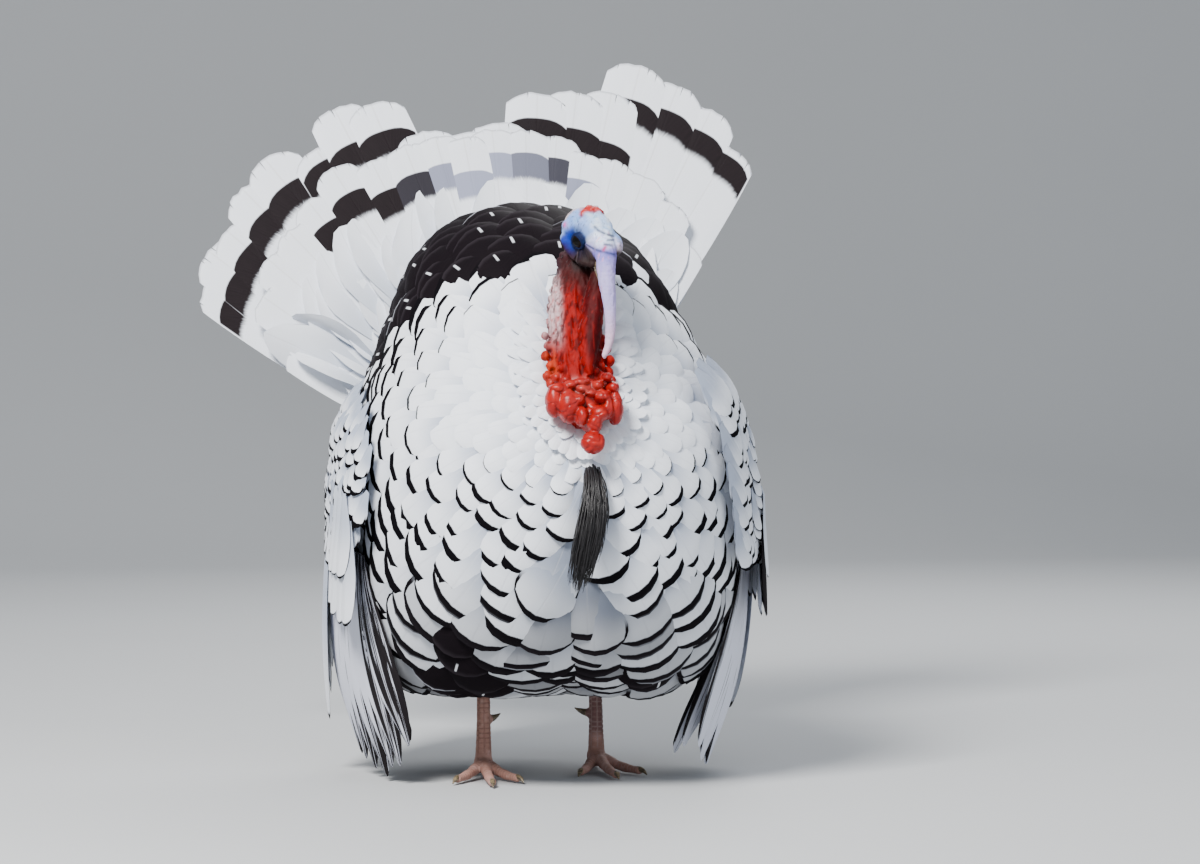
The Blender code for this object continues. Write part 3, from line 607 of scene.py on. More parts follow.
class Vane:
    """A flat closed feather as a grid: rows along it, columns across it, with its upper and under sides."""

    def __init__(self, along_rows, across_columns):
        rows, columns = len(along_rows), len(across_columns)
        t, s = np.meshgrid(along_rows, across_columns, indexing="ij")
        top = np.arange(rows * columns).reshape(rows, columns)
        under = top.copy()
        inner = np.arange((rows - 2) * (columns - 2)).reshape(rows - 2, columns - 2)
        under[1:-1, 1:-1] = rows * columns + inner
        self.t = np.concatenate([t.ravel(), t[1:-1, 1:-1].ravel()])
        self.s = np.concatenate([s.ravel(), s[1:-1, 1:-1].ravel()])
        rim = np.ones((rows, columns))
        rim[1:-1, 1:-1] = 0
        self.side = np.concatenate([np.where(rim.ravel() > 0, 0.0, 1.0), -np.ones(inner.size)])
        upper, lower = [
            np.stack([grid[:-1, :-1], grid[:-1, 1:], grid[1:, 1:], grid[1:, :-1]], axis=-1).reshape(-1, 4)
            for grid in (top, under)
        ]
        self.faces = np.concatenate([upper, lower[:, [0, 3, 2, 1]]])
        self.count = len(self.t)


VANE_THICK = 0.0006
SHARP = math.radians(75)  # edges bent by more than this stay sharp


def vane_width(t, narrow, widest, tip):
    """Share of the full width along a feather: narrow at the quill, widest part way, tip share at the end."""
    rise = narrow + (1 - narrow) * np.sin(np.clip(t / widest, 0, 1) * math.pi / 2) ** 1.2
    fall = 1 - (1 - tip) * np.clip((t - widest) / (1 - widest), 0, 1) ** 2.2
    return rise * fall


def grow(vane, start, middle, end, across, width, round_tip, cup, fray):
    """Points of many feathers, each along a smooth line through three points, with a row for each."""
    count = len(start)
    t, s = vane.t[None, :], vane.s[None, :]
    ragged = fray * (random.random((count, vane.count)) - 0.5) * (np.abs(vane.t) > 0.86)
    ragged = np.where(vane.side[None, :] == 0, ragged, 0.0)
    along = t * (1 - round_tip[:, None] * np.abs(s) ** 2.3 * smoothstep(0.25, 1.0, t)) + ragged
    a = ((1 - along) * (1 - 2 * along))[..., None]
    b = (4 * along * (1 - along))[..., None]
    c = (along * (2 * along - 1))[..., None]
    line = start[:, None] * a + middle[:, None] * b + end[:, None] * c
    da = (4 * along - 3)[..., None]
    db = (4 - 8 * along)[..., None]
    dc = (4 * along - 1)[..., None]
    ahead = unit(start[:, None] * da + middle[:, None] * db + end[:, None] * dc)
    side = across[:, None, :]
    up = unit(np.cross(ahead, side))
    reach = (width[:, None] / 2) * vane_width(vane.t, 0.25, 0.70, 0.86)[None, :] * s
    dip = -cup[:, None] * s * s * (width[:, None] / 2) * smoothstep(0.0, 0.5, t)
    shaft = 0.0005 * hill(s, 0.06) * (vane.side[None, :] > 0)
    lift = dip + vane.side[None, :] * VANE_THICK / 2 + shaft
    return line + side * reach[..., None] + up * lift[..., None]


def feather_mesh(name, vane, points, look, roots):
    """Joins small feathers into one mesh with their maps. roots are their places on the baked map."""
    count = len(points)
    faces = (vane.faces[None] + (np.arange(count) * vane.count)[:, None, None]).reshape(-1, 4)
    mesh = build_mesh(name, points.reshape(-1, 3), faces)
    mesh.set_sharp_from_angle(angle=SHARP)
    t, s = np.tile(vane.t, count), np.tile(vane.s, count)
    low, high = roots.min(0), roots.max(0)
    spread = 0.01 + 0.98 * (roots - low) / np.maximum(high - low, 1e-6)
    place = np.repeat(spread, vane.count, axis=0)
    corner_uv(mesh, "OFBake", place + np.stack([s * 0.0018, (t - 0.5) * 0.0036], axis=1))
    corner_uv(mesh, "vane", np.stack([t, s * 0.5 + 0.5], axis=1))
    colour_attribute(mesh, "look", opaque(np.repeat(look, vane.count, axis=0)))
    return mesh


BODY_ROWS = (0.0, 0.22, 0.44, 0.62, 0.78, 0.90, 1.0)
BODY_COLUMNS = (-1.0, -0.72, -0.38, 0.0, 0.38, 0.72, 1.0)


class Surface:
    """A form that feathers grow on."""

    def __init__(self, points, faces):
        self.tree = BVHTree.FromPolygons(points.tolist(), faces.tolist())

    def strike(self, origin, heading, reach=2.0):
        place, normal, _, _ = self.tree.ray_cast(Vector(origin), Vector(heading), reach)
        return (None, None) if place is None else (np.array(place), np.array(normal))

    def nearest(self, point):
        place, normal, _, _ = self.tree.find_nearest(Vector(point))
        return np.array(place), np.array(normal)

    def lay(self, root, normal, heading, length, lift):
        """A feather's line from its root along the surface: start, middle and tip, and the way across it."""
        way = unit(heading - normal * np.dot(heading, normal))
        near, near_normal = self.nearest(root + way * length / 2)
        onward = unit(near - root + way * 1e-6)
        onward = unit(onward - near_normal * np.dot(onward, near_normal))
        end, end_normal = self.nearest(near + onward * length / 2)
        middle = near + near_normal * lift * 0.5
        tip = end + end_normal * lift
        return root, middle, tip, unit(np.cross(normal + near_normal, tip - root))


class Coat:
    """Feathers gathered for one piece."""

    def __init__(self):
        self.rows = []

    def add(self, line, width, look, root, cup=0.22, round_tip=0.30):
        start, middle, tip, across = line
        self.rows.append((*start, *middle, *tip, *across, width, cup, round_tip, *look, *root))

    def mesh(self, name, vane, fray):
        data = np.array(self.rows)
        start, middle, tip, across, shape, look = (data[:, k:k + 3] for k in range(0, 18, 3))
        width, cup, round_tip = shape.T
        points = grow(vane, start, middle, tip, across, width, round_tip, cup, fray)
        return feather_mesh(name, vane, points, look, data[:, 18:20])


# -------------------------------------------------------------------------------- body coat

COAT_MIDDLE = (0.0, -0.020, 0.310)  # rays from here place the feathers
COAT_POLE = (0.004, -0.245, 0.376)  # the feathers part from the foot of the neck
HUMP_POINT = np.array([0.0, -0.120, 0.512])
HUMP_NORMAL = np.array([0.0, 0.537, 0.843])
FAN_ROOT = np.array([0.023, 0.222, 0.282])
FAN_LEAN = math.radians(14)
FAN_FRONT = np.array([0.0, -math.cos(FAN_LEAN), math.sin(FAN_LEAN)])
FAN_UP = np.array([0.0, math.sin(FAN_LEAN), math.cos(FAN_LEAN)])
# degrees from the pole: length, width, row spacing
COAT_SIZES = [
    (1, 0.022, 0.012, 0.0060),
    (6, 0.030, 0.015, 0.0075),
    (15, 0.056, 0.034, 0.0135),
    (24, 0.072, 0.056, 0.0165),
    (34, 0.082, 0.074, 0.0175),
    (48, 0.086, 0.086, 0.0180),
    (70, 0.086, 0.088, 0.0180),
    (90, 0.084, 0.084, 0.0185),
    (180, 0.076, 0.074, 0.0205),
]
EDGE_WIDTHS = [(24, 0.0), (28, 0.036), (35, 0.070), (48, 0.096), (75, 0.112), (220, 0.112)]
# the black thighs, as seen from the front: side, half width and top
THIGHS = [(-0.088, 0.031, 0.128), (0.100, 0.023, 0.117)]
REAR_MIDDLE = (0.013, 0.150)  # side and height of the vent
# distance from the vent: length, width, row spacing
REAR_SIZES = [
    (0.006, 0.040, 0.024, 0.010),
    (0.04, 0.056, 0.032, 0.014),
    (0.10, 0.074, 0.042, 0.018),
    (0.25, 0.084, 0.048, 0.020),
]
BODY_RADIUS = 0.215  # turns lengths on the trunk into angles
LAST_ROW = 168  # degrees from the pole
SADDLE_Z = 0.385  # the black hump's lower edge
VIEW_SLANT = 0.17  # sideways shift for each metre of depth, in the photo's view


def in_neck(bird):
    shift, middle, half_width, half_depth = table(NECK, bird[2]).tolist()
    if not 0.372 < bird[2] < 0.53:
        return False
    return abs(bird[0] - shift) < half_width - 0.004 and bird[1] < middle + half_depth * 0.6


def under_wing(bird):
    return abs(bird[0]) > 0.13 and -0.085 < bird[1] < 0.125 and 0.245 < bird[2] < 0.372


def parting(bird):
    """How the breast's feathers turn away from its middle line high up, and towards it low down."""
    x, y, z = bird[0] - 0.004, bird[1], bird[2]
    front = float(smoothstep(-0.04, -0.14, y))
    high = float(smoothstep(0.19, 0.26, z) * smoothstep(0.36, 0.31, z))
    spread = 0.50 * math.exp(-((x / 0.055) ** 2)) * high
    gather = -0.28 * math.exp(-(((abs(x) - 0.035) / 0.040) ** 2)) * float(smoothstep(0.21, 0.16, z))
    return np.array([math.copysign(1.0, x) * (spread + gather) * front, 0.0, 0.0])


def body_coat(surface):
    """Rows of feathers round the pole at the foot of the neck, parted into front, rear and black pieces."""
    coats = {"front": Coat(), "flank": Coat(), "back": Coat()}
    middle = at(*COAT_MIDDLE)
    pole = unit(at(*COAT_POLE) - middle)
    beside = unit(np.cross(pole, (0.0, 0.0, 1.0)))
    above = np.cross(beside, pole)
    degrees, row = 1.5, 0
    while degrees < LAST_ROW:
        length, width, spacing = table(COAT_SIZES, degrees).tolist()
        angle = math.radians(degrees)
        around = max(6, round(2 * math.pi * BODY_RADIUS * math.sin(angle) / (width * 0.46)))
        for k in range(around):
            turn = 2 * math.pi * (k + 0.5 * (row % 2) + random.uniform(-0.12, 0.12)) / around
            tilt = angle + random.uniform(-0.10, 0.10) * spacing / BODY_RADIUS
            ring = math.cos(turn) * beside + math.sin(turn) * above
            heading = math.cos(tilt) * pole + math.sin(tilt) * ring
            root, normal = surface.strike(middle, heading)
            if root is None:
                continue
            bird = root - SHIFT
            behind = np.dot(bird - FAN_ROOT, FAN_FRONT)
            if in_neck(bird) or under_wing(bird) or behind < 0.012:
                continue
            onward = -math.sin(tilt) * pole + math.cos(tilt) * ring
            onward = unit(onward + parting(bird))
            onward = turned(onward[None], normal[None], np.array([random.normal(0, 0.085)]))[0]
            chance = random.random()
            black = np.dot(bird - HUMP_POINT, HUMP_NORMAL) > -0.047 and bird[2] > SADDLE_Z
            # the black edges start closer to the neck below it
            sooner = 21 * float(smoothstep(0.375, 0.310, bird[2]))
            edge = float(table(EDGE_WIDTHS, degrees + sooner)[0]) * random.uniform(0.70, 1.20)
            low = float(smoothstep(0.16, 0.10, bird[2]))
            puff = abs(normal[0]) * float(smoothstep(0.30, 0.20, bird[2]) * smoothstep(0.075, 0.105, bird[2]))
            calm = 0.42 + 0.58 * float(smoothstep(20, 46, degrees))
            lift = min(0.0135, 0.0014 + 0.20 * length) * calm * (1 - 0.25 * low) + 0.008 * puff
            scale = random.uniform(0.93, 1.07) * (1 - 0.25 * low)
            if black:
                scale *= 0.86
            keel = math.exp(-(((bird[0] - 0.004) / 0.030) ** 2)) * float(smoothstep(0.26, 0.20, bird[2]))
            scale *= 1 - 0.25 * keel * (bird[1] < -0.1)
            line = surface.lay(root, normal, onward, length * scale, lift)
            tip = line[2] - SHIFT
            seen = tip[0] - VIEW_SLANT * tip[1]
            thigh = any(tip[2] < top and abs(seen - side) < half for side, half, top in THIGHS)
            if tip[2] < 0.103 and not thigh and abs(tip[0]) < 0.055 and tip[1] < 0.05:
                line = surface.lay(root, normal, onward, length * scale * 0.6, lift)
            if thigh:
                line = surface.lay(root, normal, onward, length * scale * 0.8, lift)
            black = black or thigh
            place = (turn / (2 * math.pi) % 1.0, degrees / 170)
            name = "back" if black else ("front" if bird[1] < -0.09 else "flank")
            # the low white feathers get a painted shade, darker towards the bottom
            painted_shade = random.uniform(0.20, 0.85) * float(smoothstep(0.215, 0.115, tip[2]))
            look = (edge, chance * (1.0 if black else 0.5), 1.0 if black else painted_shade)
            width_now = width * scale * (0.8 if thigh else 1.0)
            coats[name].add(line, width_now, look, place, round_tip=random.uniform(0.12, 0.21))
        degrees += math.degrees(spacing / BODY_RADIUS)
        row += 1
    collar(coats["front"], surface)
    return coats


def collar(coat, surface):
    """Small feathers that come out from behind the bare neck and cover its foot."""
    for share, count in ((0.50, 18), (0.80, 26), (1.08, 34)):
        for k in range(count):
            turn = 2.5 * (2 * (k + random.uniform(0.2, 0.8)) / count - 1)
            tall = 0.044 if math.cos(turn) > 0 else 0.075
            side, height = 0.005 + 0.026 * share * math.sin(turn), 0.402 - tall * share * math.cos(turn)
            root, normal = surface.strike(at(side, -0.45, height), (0.0, 1.0, 0.0))
            if root is None:
                continue
            onward = np.array([math.sin(turn) + random.normal(0, 0.12), 0.0, -math.cos(turn) - 0.25])
            length = random.uniform(0.030, 0.038) * (0.8 + 0.25 * share)
            line = surface.lay(root, normal, onward, length, 0.0085)
            look = (0.0, random.random() * 0.5, 0.0)
            coat.add(line, length * 0.52, look, (turn / 6.3 + 0.5, 0.004 * share), round_tip=0.24)


def rear_coat(surface):
    """Soft white feathers behind the fan, in rings round the vent, up under the tail and down."""
    coat = Coat()
    ring, row = 0.006, 0
    while ring < 0.255:
        length, width, spacing = table(REAR_SIZES, ring).tolist()
        around = max(5, round(2 * math.pi * ring / (width * 0.48)))
        for k in range(around):
            turn = 2 * math.pi * (k + 0.5 * (row % 2) + random.uniform(-0.15, 0.15)) / around
            way = np.array([math.cos(turn), 0.0, math.sin(turn)])
            out = ring + random.uniform(-0.12, 0.12) * spacing
            behind = at(REAR_MIDDLE[0], 0.60, REAR_MIDDLE[1]) + way * out
            root, normal = surface.strike(behind, (0.0, -1.0, 0.0))
            if root is None or root[1] - SHIFT[1] < 0.215:
                continue
            onward = turned(way[None], normal[None], np.array([random.normal(0, 0.12)]))[0]
            scale = random.uniform(0.90, 1.10)
            line = surface.lay(root, normal, onward, length * scale, 0.009)
            look = (0.0, random.random() * 0.7, 0.10 * random.random())
            place = (turn / (2 * math.pi), ring / 0.26)
            coat.add(line, width * scale, look, place, cup=0.20, round_tip=random.uniform(0.18, 0.32))
        ring += spacing
        row += 1
    return coat


# -------------------------------------------------------------------------------- tail

FAN_HUB = 0.092
FAN_BOW = 0.020
FAN_DISH = 0.034
FAN_REACH = 0.330
FAN_STEP = 0.0008
TAIL_HALF_WIDTH = 0.036
# middle of each tail feather's black band, measured from the fan's root, from the bird's left to its right
TAIL_BANDS = (
    0.4220, 0.4320, 0.4390, 0.4370, 0.3800, 0.3875, 0.3935, 0.0, 0.0,
    0.0, 0.3990, 0.3985, 0.3950, 0.3940, 0.3860, 0.3720, 0.3640, 0.3570,
)
TAIL_BAND_HALF = 0.0145
TAIL_SHORTER = {12: 0.016, 15: 0.011}  # feathers whose ends notch the fan's outline
# larger coverts over the fan: angle from the bird's left, reach, band's middle (0 for none), its greyness
# (painted shade)
LARGE_COVERTS = [
    (149, 0.285, 0.0, 0.0), (144, 0.340, 0.0, 0.0), (138, 0.360, 0.0, 0.0), (132, 0.366, 0.0, 0.0),
    (126.0, 0.378, 0.3330, 0.0), (119.6, 0.395, 0.3480, 0.0), (113.4, 0.384, 0.3330, 0.0),
    (107.4, 0.388, 0.3400, 0.05), (102.2, 0.390, 0.3430, 0.75), (97.8, 0.384, 0.3300, 0.92),
    (93.0, 0.391, 0.3490, 0.90), (87.6, 0.390, 0.3490, 0.45), (82.6, 0.386, 0.3460, 0.12),
    (78.0, 0.372, 0.3260, 0.80), (72.5, 0.372, 0.0, 0.0), (67.0, 0.366, 0.0, 0.0),
    (61.0, 0.350, 0.0, 0.0), (55.0, 0.318, 0.0, 0.0),
]
COVERT_HALF_WIDTH = 0.029
COVERT_HUB = 0.085
COVERT_BAND_HALF = 0.0150
TIP_ROUNDING = 0.042
# rows of soft coverts: reach, feathers, half width, length, lift in front of the fan, first and last angle
SMALL_COVERTS = [
    (0.330, 15, 0.027, 0.130, 0.0100, 147, 57),
    (0.296, 16, 0.024, 0.115, 0.0115, 148, 54),
    (0.262, 17, 0.022, 0.105, 0.0130, 149, 50),
    (0.230, 17, 0.020, 0.095, 0.0150, 151, 46),
    (0.200, 16, 0.018, 0.090, 0.0170, 153, 42),
    (0.325, 15, 0.027, 0.140, -0.0190, 147, 54),
    (0.285, 16, 0.024, 0.130, -0.0215, 149, 50),
    (0.245, 17, 0.022, 0.120, -0.0240, 152, 46),
    (0.205, 17, 0.020, 0.110, -0.0270, 156, 40),
]
TAIL_ROWS = np.concatenate([np.linspace(0, 0.8, 17), np.linspace(0.815, 1.0, 19)])


def fan_points(radius, across, angle, lift):
    """Points of the leaning, dished fan, from places along and across a feather."""
    x = radius * np.cos(angle) - across * np.sin(angle)
    z = radius * np.sin(angle) + across * np.cos(angle)
    reach = np.hypot(x, z) / FAN_REACH
    forward = FAN_DISH * (x / FAN_REACH) ** 2 - FAN_BOW * reach**2 + lift
    sideways = x[..., None] * np.array([1.0, 0.0, 0.0])
    return (FAN_ROOT + SHIFT) + sideways + z[..., None] * FAN_UP + forward[..., None] * FAN_FRONT


def tail_axis(name):
    """Angle and length of a CAD tail feather, from its own form."""
    points = mesh_points(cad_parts[name].data) - SHIFT - FAN_ROOT
    x, z = points[:, 0], points @ FAN_UP
    radius = np.hypot(x, z)
    far = radius > radius.max() - 0.012
    return float(np.arctan2(z[far].mean(), x[far].mean())), float(radius.max())


def slit_columns(count, slits):
    """Columns across a vane, with three close columns at every slit. The middle one opens the slit."""
    columns = list(np.linspace(-1, 1, count))
    for slit in slits:
        columns = [c for c in columns if abs(c - slit) > 0.035] + [slit - 0.016, slit, slit + 0.016]
    return np.array(sorted(columns))


def fan_feather(angle, start, reach, half_width, lift, cup, notch):
    """One broad feather of the fan, split at its tip. Returns its vane and its points."""
    slits = sorted(random.uniform(-0.85, 0.85, 3))
    slits = [slit for k, slit in enumerate(slits) if k == 0 or slit - slits[k - 1] > 0.12]
    slits = [slit for slit in slits if abs(slit) > 0.08]
    columns = slit_columns(11, slits)
    shape = Vane(TAIL_ROWS, columns)
    t, s = shape.t, shape.s
    along = t * (1 - TIP_ROUNDING * np.abs(s) ** 3.0 * smoothstep(0.3, 1.0, t))
    for slit in slits:
        depth = notch * random.uniform(0.4, 1.4) / (reach - start)
        centre = np.abs(s - slit) < 1e-6
        deepest = 1 - depth - TIP_ROUNDING * np.abs(slit) ** 3.0 + 0.0008 * (t - 1)
        along = np.where(centre, np.minimum(along, deepest), along)
    ripple = 0.0016 * hash_noise(np.stack([s * 9, t * 0, np.full_like(t, angle * 40)], 1), 1.0, 5)
    radius = start + (reach - start) * along + ripple * (t > 0.985)
    width = half_width * vane_width(t, 0.16, 0.70, 0.93)
    across = width * s
    shaft = 0.0011 * hill(s, 0.05) * (1 - 0.6 * t)
    depth = lift - cup * s * s + shape.side * 0.0004 + shaft * (shape.side > 0)
    return shape, fan_points(radius, across, np.full_like(t, angle), depth)


def join_vanes(name, feathers, looks):
    """Joins large feathers, each with a vane of its own, and gives each a cell of the baked map."""
    columns = int(math.ceil(math.sqrt(len(feathers) * 4.0)))
    rows = int(math.ceil(len(feathers) / columns))
    points, faces, cells, vanes, marks, base = [], [], [], [], [], 0
    for k, ((shape, place), look) in enumerate(zip(feathers, looks)):
        points.append(place)
        faces.append(shape.faces + base)
        column, row = k % columns, k // columns
        cell = [(column + 0.5 + 0.46 * shape.s) / columns, (row + 0.03 + 0.94 * shape.t) / rows]
        cells.append(np.stack(cell, axis=1))
        vanes.append(np.stack([shape.t, shape.s * 0.5 + 0.5], axis=1))
        marks.append(np.tile((*look, 1.0), (shape.count, 1)))
        base += shape.count
    mesh = build_mesh(name, np.concatenate(points), np.concatenate(faces))
    mesh.set_sharp_from_angle(angle=SHARP)
    corner_uv(mesh, "OFBake", np.concatenate(cells))
    corner_uv(mesh, "vane", np.concatenate(vanes))
    colour_attribute(mesh, "look", np.concatenate(marks))
    return mesh


def band_share(band, half, start, reach):
    """A band's middle and half height as shares of a feather's length; no band gives a half height of 0."""
    span = reach - start
    return ((band - start) / span, half / span) if band else (0.5, 0.0)


def tail_feathers():
    feathers, looks = [], []
    count = len(TAIL_BANDS)
    for k, band in enumerate(TAIL_BANDS):
        angle, reach = tail_axis(f"tail_feather_{k + 1:02d}")
        reach -= TAIL_SHORTER.get(k, 0.0)
        from_middle = k - (count // 2 - 1)
        rank = 2 * from_middle - 1 if from_middle > 0 else -2 * from_middle
        depth = -FAN_STEP * rank
        feathers.append(fan_feather(angle, FAN_HUB, reach, TAIL_HALF_WIDTH, depth, 0.0016, 0.010))
        looks.append((*band_share(band, TAIL_BAND_HALF, FAN_HUB, reach), 0.0))
    return join_vanes("tail_feathers", feathers, looks)


def large_coverts():
    feathers, looks = [], []
    for k, (degrees, reach, band, grey) in enumerate(LARGE_COVERTS):
        rank = abs(k - len(LARGE_COVERTS) / 2 + 0.5)
        lift = 0.0085 - 0.0005 * rank + 0.0004 * (k % 2)
        angle = math.radians(degrees)
        feathers.append(fan_feather(angle, COVERT_HUB, reach, COVERT_HALF_WIDTH, lift, 0.0012, 0.006))
        looks.append((*band_share(band, COVERT_BAND_HALF, COVERT_HUB, reach), grey))
    return join_vanes("tail_large_coverts", feathers, looks)


def small_coverts():
    """Rows of soft white feathers that cover the fan's foot, in front and behind."""
    coat = Coat()
    for reach, count, half, length, lift, first, last in SMALL_COVERTS:
        for k in range(count):
            degrees = first + (last - first) * (k + random.uniform(-0.25, 0.25)) / (count - 1)
            angle = math.radians(degrees)
            end = reach * random.uniform(0.96, 1.03)
            end = end - 0.055 * smoothstep(142, 160, degrees) - 0.03 * smoothstep(58, 42, degrees)
            line = []
            for share in (1.0, 0.5, 0.0):
                sway = 0.03 * random.normal() * (1 - share)
                line.append(fan_points(end - length * share, 0.0, angle + sway, lift * (0.80 + 0.25 * share)))
            front = fan_points(end, 0.01, angle, lift) - line[2]
            across = unit(front) * (-1 if lift > 0 else 1)
            look = (0.0, random.random(), 0.0)
            place = (degrees / 190, reach * 2 + (0.4 if lift < 0 else 0))
            coat.add((*line, across), 2 * half, look, place, cup=0.12, round_tip=0.22)
    return coat


# -------------------------------------------------------------------------------- wings

# The wing's plan at its upper heights: height, half width of the body, front, back
WING_FORM = [
    (0.255, 0.1911, -0.2538, 0.2035),
    (0.295, 0.1940, -0.2560, 0.2130),
    (0.345, 0.1910, -0.2440, 0.2190),
    (0.385, 0.1810, -0.2230, 0.2200),
    (0.420, 0.1630, -0.1990, 0.2170),
]
WING_CLEAR = 0.0090
WING_DEPTH = 0.265
WING_TAPER = 0.34
WING_FLARE = 0.010
WING_FLARE_Z = 0.310
# quills from the wrist inwards: front-to-back place and height of the root, angle back from straight down,
# length, lift
QUILLS = [
    (-0.085, 0.226, -4.0, 0.196, -0.0150),
    (-0.074, 0.230, 4.0, 0.228, -0.0105),
    (-0.063, 0.234, 12.0, 0.236, -0.0066),
    (-0.052, 0.238, 20.5, 0.242, -0.0037),
    (-0.041, 0.242, 29.5, 0.250, -0.0016),
]
INNER_LIFT = -0.012  # of the innermost quills, behind the others
# broad pale feathers that hang inside the quills: front-to-back place, height, angle, length
HANGING = {
    1: ((-0.020, 0.235, 12, 0.165), (0.000, 0.240, 22, 0.170), (0.018, 0.245, 33, 0.165)),
    -1: ((0.0, 0.235, 20, 0.15),),
}
QUILL_ROWS = np.concatenate([np.linspace(0, 0.85, 16), np.linspace(0.88, 1.0, 7)])
QUILL_COLUMNS = np.linspace(-1, 1, 9)


def wing_plan(y, z):
    form = table(WING_FORM, z)
    half_width, front, back = form[..., 0], form[..., 1], form[..., 2]
    share = (y - (front + back) / 2) / WING_DEPTH
    flare = WING_FLARE * np.sin(math.pi * np.clip(z / WING_FLARE_Z, 0, 1))
    rear = 1 - WING_TAPER * np.maximum(share, 0) ** 2
    fore = (1 - np.minimum(np.abs(np.minimum(share, 0)), 0.995) ** 2.25) ** (1 / 2.25)
    return (half_width + WING_CLEAR + flare) * np.where(share > 0, rear, fore)


def wing_points(sign, y, z, lift):
    """Points a small distance outside the flank of one side."""
    y, z, lift = np.broadcast_arrays(np.asarray(y, float), np.asarray(z, float), np.asarray(lift, float))
    slope = (wing_plan(y + 0.001, z) - wing_plan(y - 0.001, z)) / 0.002
    outward = unit(np.stack([np.ones_like(slope), -slope, np.zeros_like(slope)], axis=-1))
    place = np.stack([wing_plan(y, z), y, z], axis=-1) + lift[..., None] * outward
    place[..., 0] *= sign
    return place + SHIFT


def wing_feather(
    sign, root, degrees, length, half_width, lift, twist, bend=7.0, tip=0.16, widest=0.5, inward=0.0
):
    """One long feather in the wing's surface, turned back from straight down."""
    shape = Vane(QUILL_ROWS, QUILL_COLUMNS)
    t, s = shape.t, shape.s
    along = t * (1 - 0.06 * np.abs(s) ** 2.2 * smoothstep(0.4, 1.0, t))
    angle = np.radians(degrees + bend * (along - 0.5))
    # the arc is summed from the root, so that the shaft curves
    steps = np.linspace(0, 1, 40)
    turn = np.radians(degrees + bend * (steps - 0.5))
    down = np.concatenate([[0], np.cumsum(np.cos(turn[1:]))]) / 39
    back = np.concatenate([[0], np.cumsum(np.sin(turn[1:]))]) / 39
    y = root[0] + length * np.interp(along, steps, back)
    z = root[1] - length * np.interp(along, steps, down)
    width = half_width * vane_width(t, 0.30, widest, tip)
    across = width * s
    shaft = 0.0008 * hill(s, 0.08) * (shape.side > 0)
    lifted = lift + shape.side * 0.00035 + twist * (0.35 + 0.65 * t) * s * width + shaft
    lifted = lifted - 0.10 * width * s * s - inward * t**1.5
    points = wing_points(sign, y + across * np.cos(angle), z + across * np.sin(angle), lifted)
    points[:, 2] = np.maximum(points[:, 2], 0.0012 + 0.0003 * (shape.side > 0))
    if sign < 0:
        shape.faces = shape.faces[:, ::-1]
    return shape, points


def wing_quills():
    feathers, looks = [], []
    for sign in (-1, 1):
        for k in range(10):
            place = min(k / 2.25, 4.0)
            y, z, degrees, length, lift = (np.interp(place, range(5), column) for column in zip(*QUILLS))
            degrees += random.uniform(-2.0, 2.0)
            length *= random.uniform(0.94, 1.0)
            inward = 0.038 - 0.0022 * k + random.uniform(-0.003, 0.003)
            bend = random.uniform(4, 13)
            made = wing_feather(sign, (y, z), degrees, length, 0.0150, lift, 0.95, bend, inward=inward)
            feathers.append(made)
            pale = random.uniform(0.16, 0.38) if sign < 0 else random.uniform(0.60, 0.90)
            looks.append((pale, random.random() * 7, 0.0))
    # the innermost pale quills of the left wing, which hang apart from the rest
    inner = (((-0.070, 0.222), -2, 0.190, 0.056), ((-0.062, 0.228), 3, 0.205, 0.062))
    for root, degrees, length, inward in inner:
        feathers.append(wing_feather(1, root, degrees, length, 0.0180, INNER_LIFT, 1.0, 8, inward=inward))
        looks.append((0.88, random.random() * 7, 0.0))
    feathers.append(wing_feather(-1, (-0.070, 0.222), 1, 0.180, 0.0100, INNER_LIFT, 1.0, 8, inward=0.052))
    looks.append((0.20, 1.0, 0.0))
    return join_vanes("wing_quills", feathers, looks)


def wing_secondaries():
    feathers, looks = [], []
    for sign in (-1, 1):
        count = 11
        for k in range(count):
            u = k / (count - 1)
            root = (-0.012 + 0.127 * u, 0.234 + 0.085 * u)
            degrees = 25 + 52 * u + random.uniform(-1.5, 1.5)
            length = (0.196 - 0.058 * u) * random.uniform(0.97, 1.02)
            lift = 0.0012 + 0.0006 * (count - k)
            made = wing_feather(sign, root, degrees, length, 0.027, lift, 0.05, tip=0.55, widest=0.7)
            feathers.append(made)
            looks.append((0.035 * random.uniform(0.7, 1.4), random.random() * 0.5, 0.0))
        hanging = {"tip": 0.30, "widest": 0.6, "inward": 0.030}
        for y, z, degrees, length in HANGING[sign]:
            feathers.append(wing_feather(sign, (y, z), degrees, length, 0.021, -0.014, 0.10, **hanging))
            looks.append((0.05, random.random() * 0.5, 0.0))
    return join_vanes("wing_secondaries", feathers, looks)


def greater_coverts():
    """The row of large coverts that hangs from the folded wing over the quills' roots."""
    feathers, looks = [], []
    for sign in (-1, 1):
        for row, (drop, length, lift) in enumerate(((0.0, 0.105, 0.0052), (0.024, 0.088, 0.0085))):
            count = 11
            for k in range(count):
                u = (k + 0.5 * row) / count
                root = (-0.100 + 0.190 * u, 0.262 + 0.035 * u + drop)
                degrees = -3 + 62 * u + random.uniform(-3, 3)
                size = length * random.uniform(0.92, 1.05)
                made = wing_feather(sign, root, degrees, size, 0.021, lift, 0.04, tip=0.62, widest=0.65)
                feathers.append(made)
                dark = sign > 0 and row == 0 and k < 2
                edge = random.uniform(0.04, 0.07) if u > 0.25 else random.uniform(0.01, 0.03)
                looks.append((edge, random.random() * 0.5, 1.0 if dark else 0.0))
    return join_vanes("wing_greater_coverts", feathers, looks)


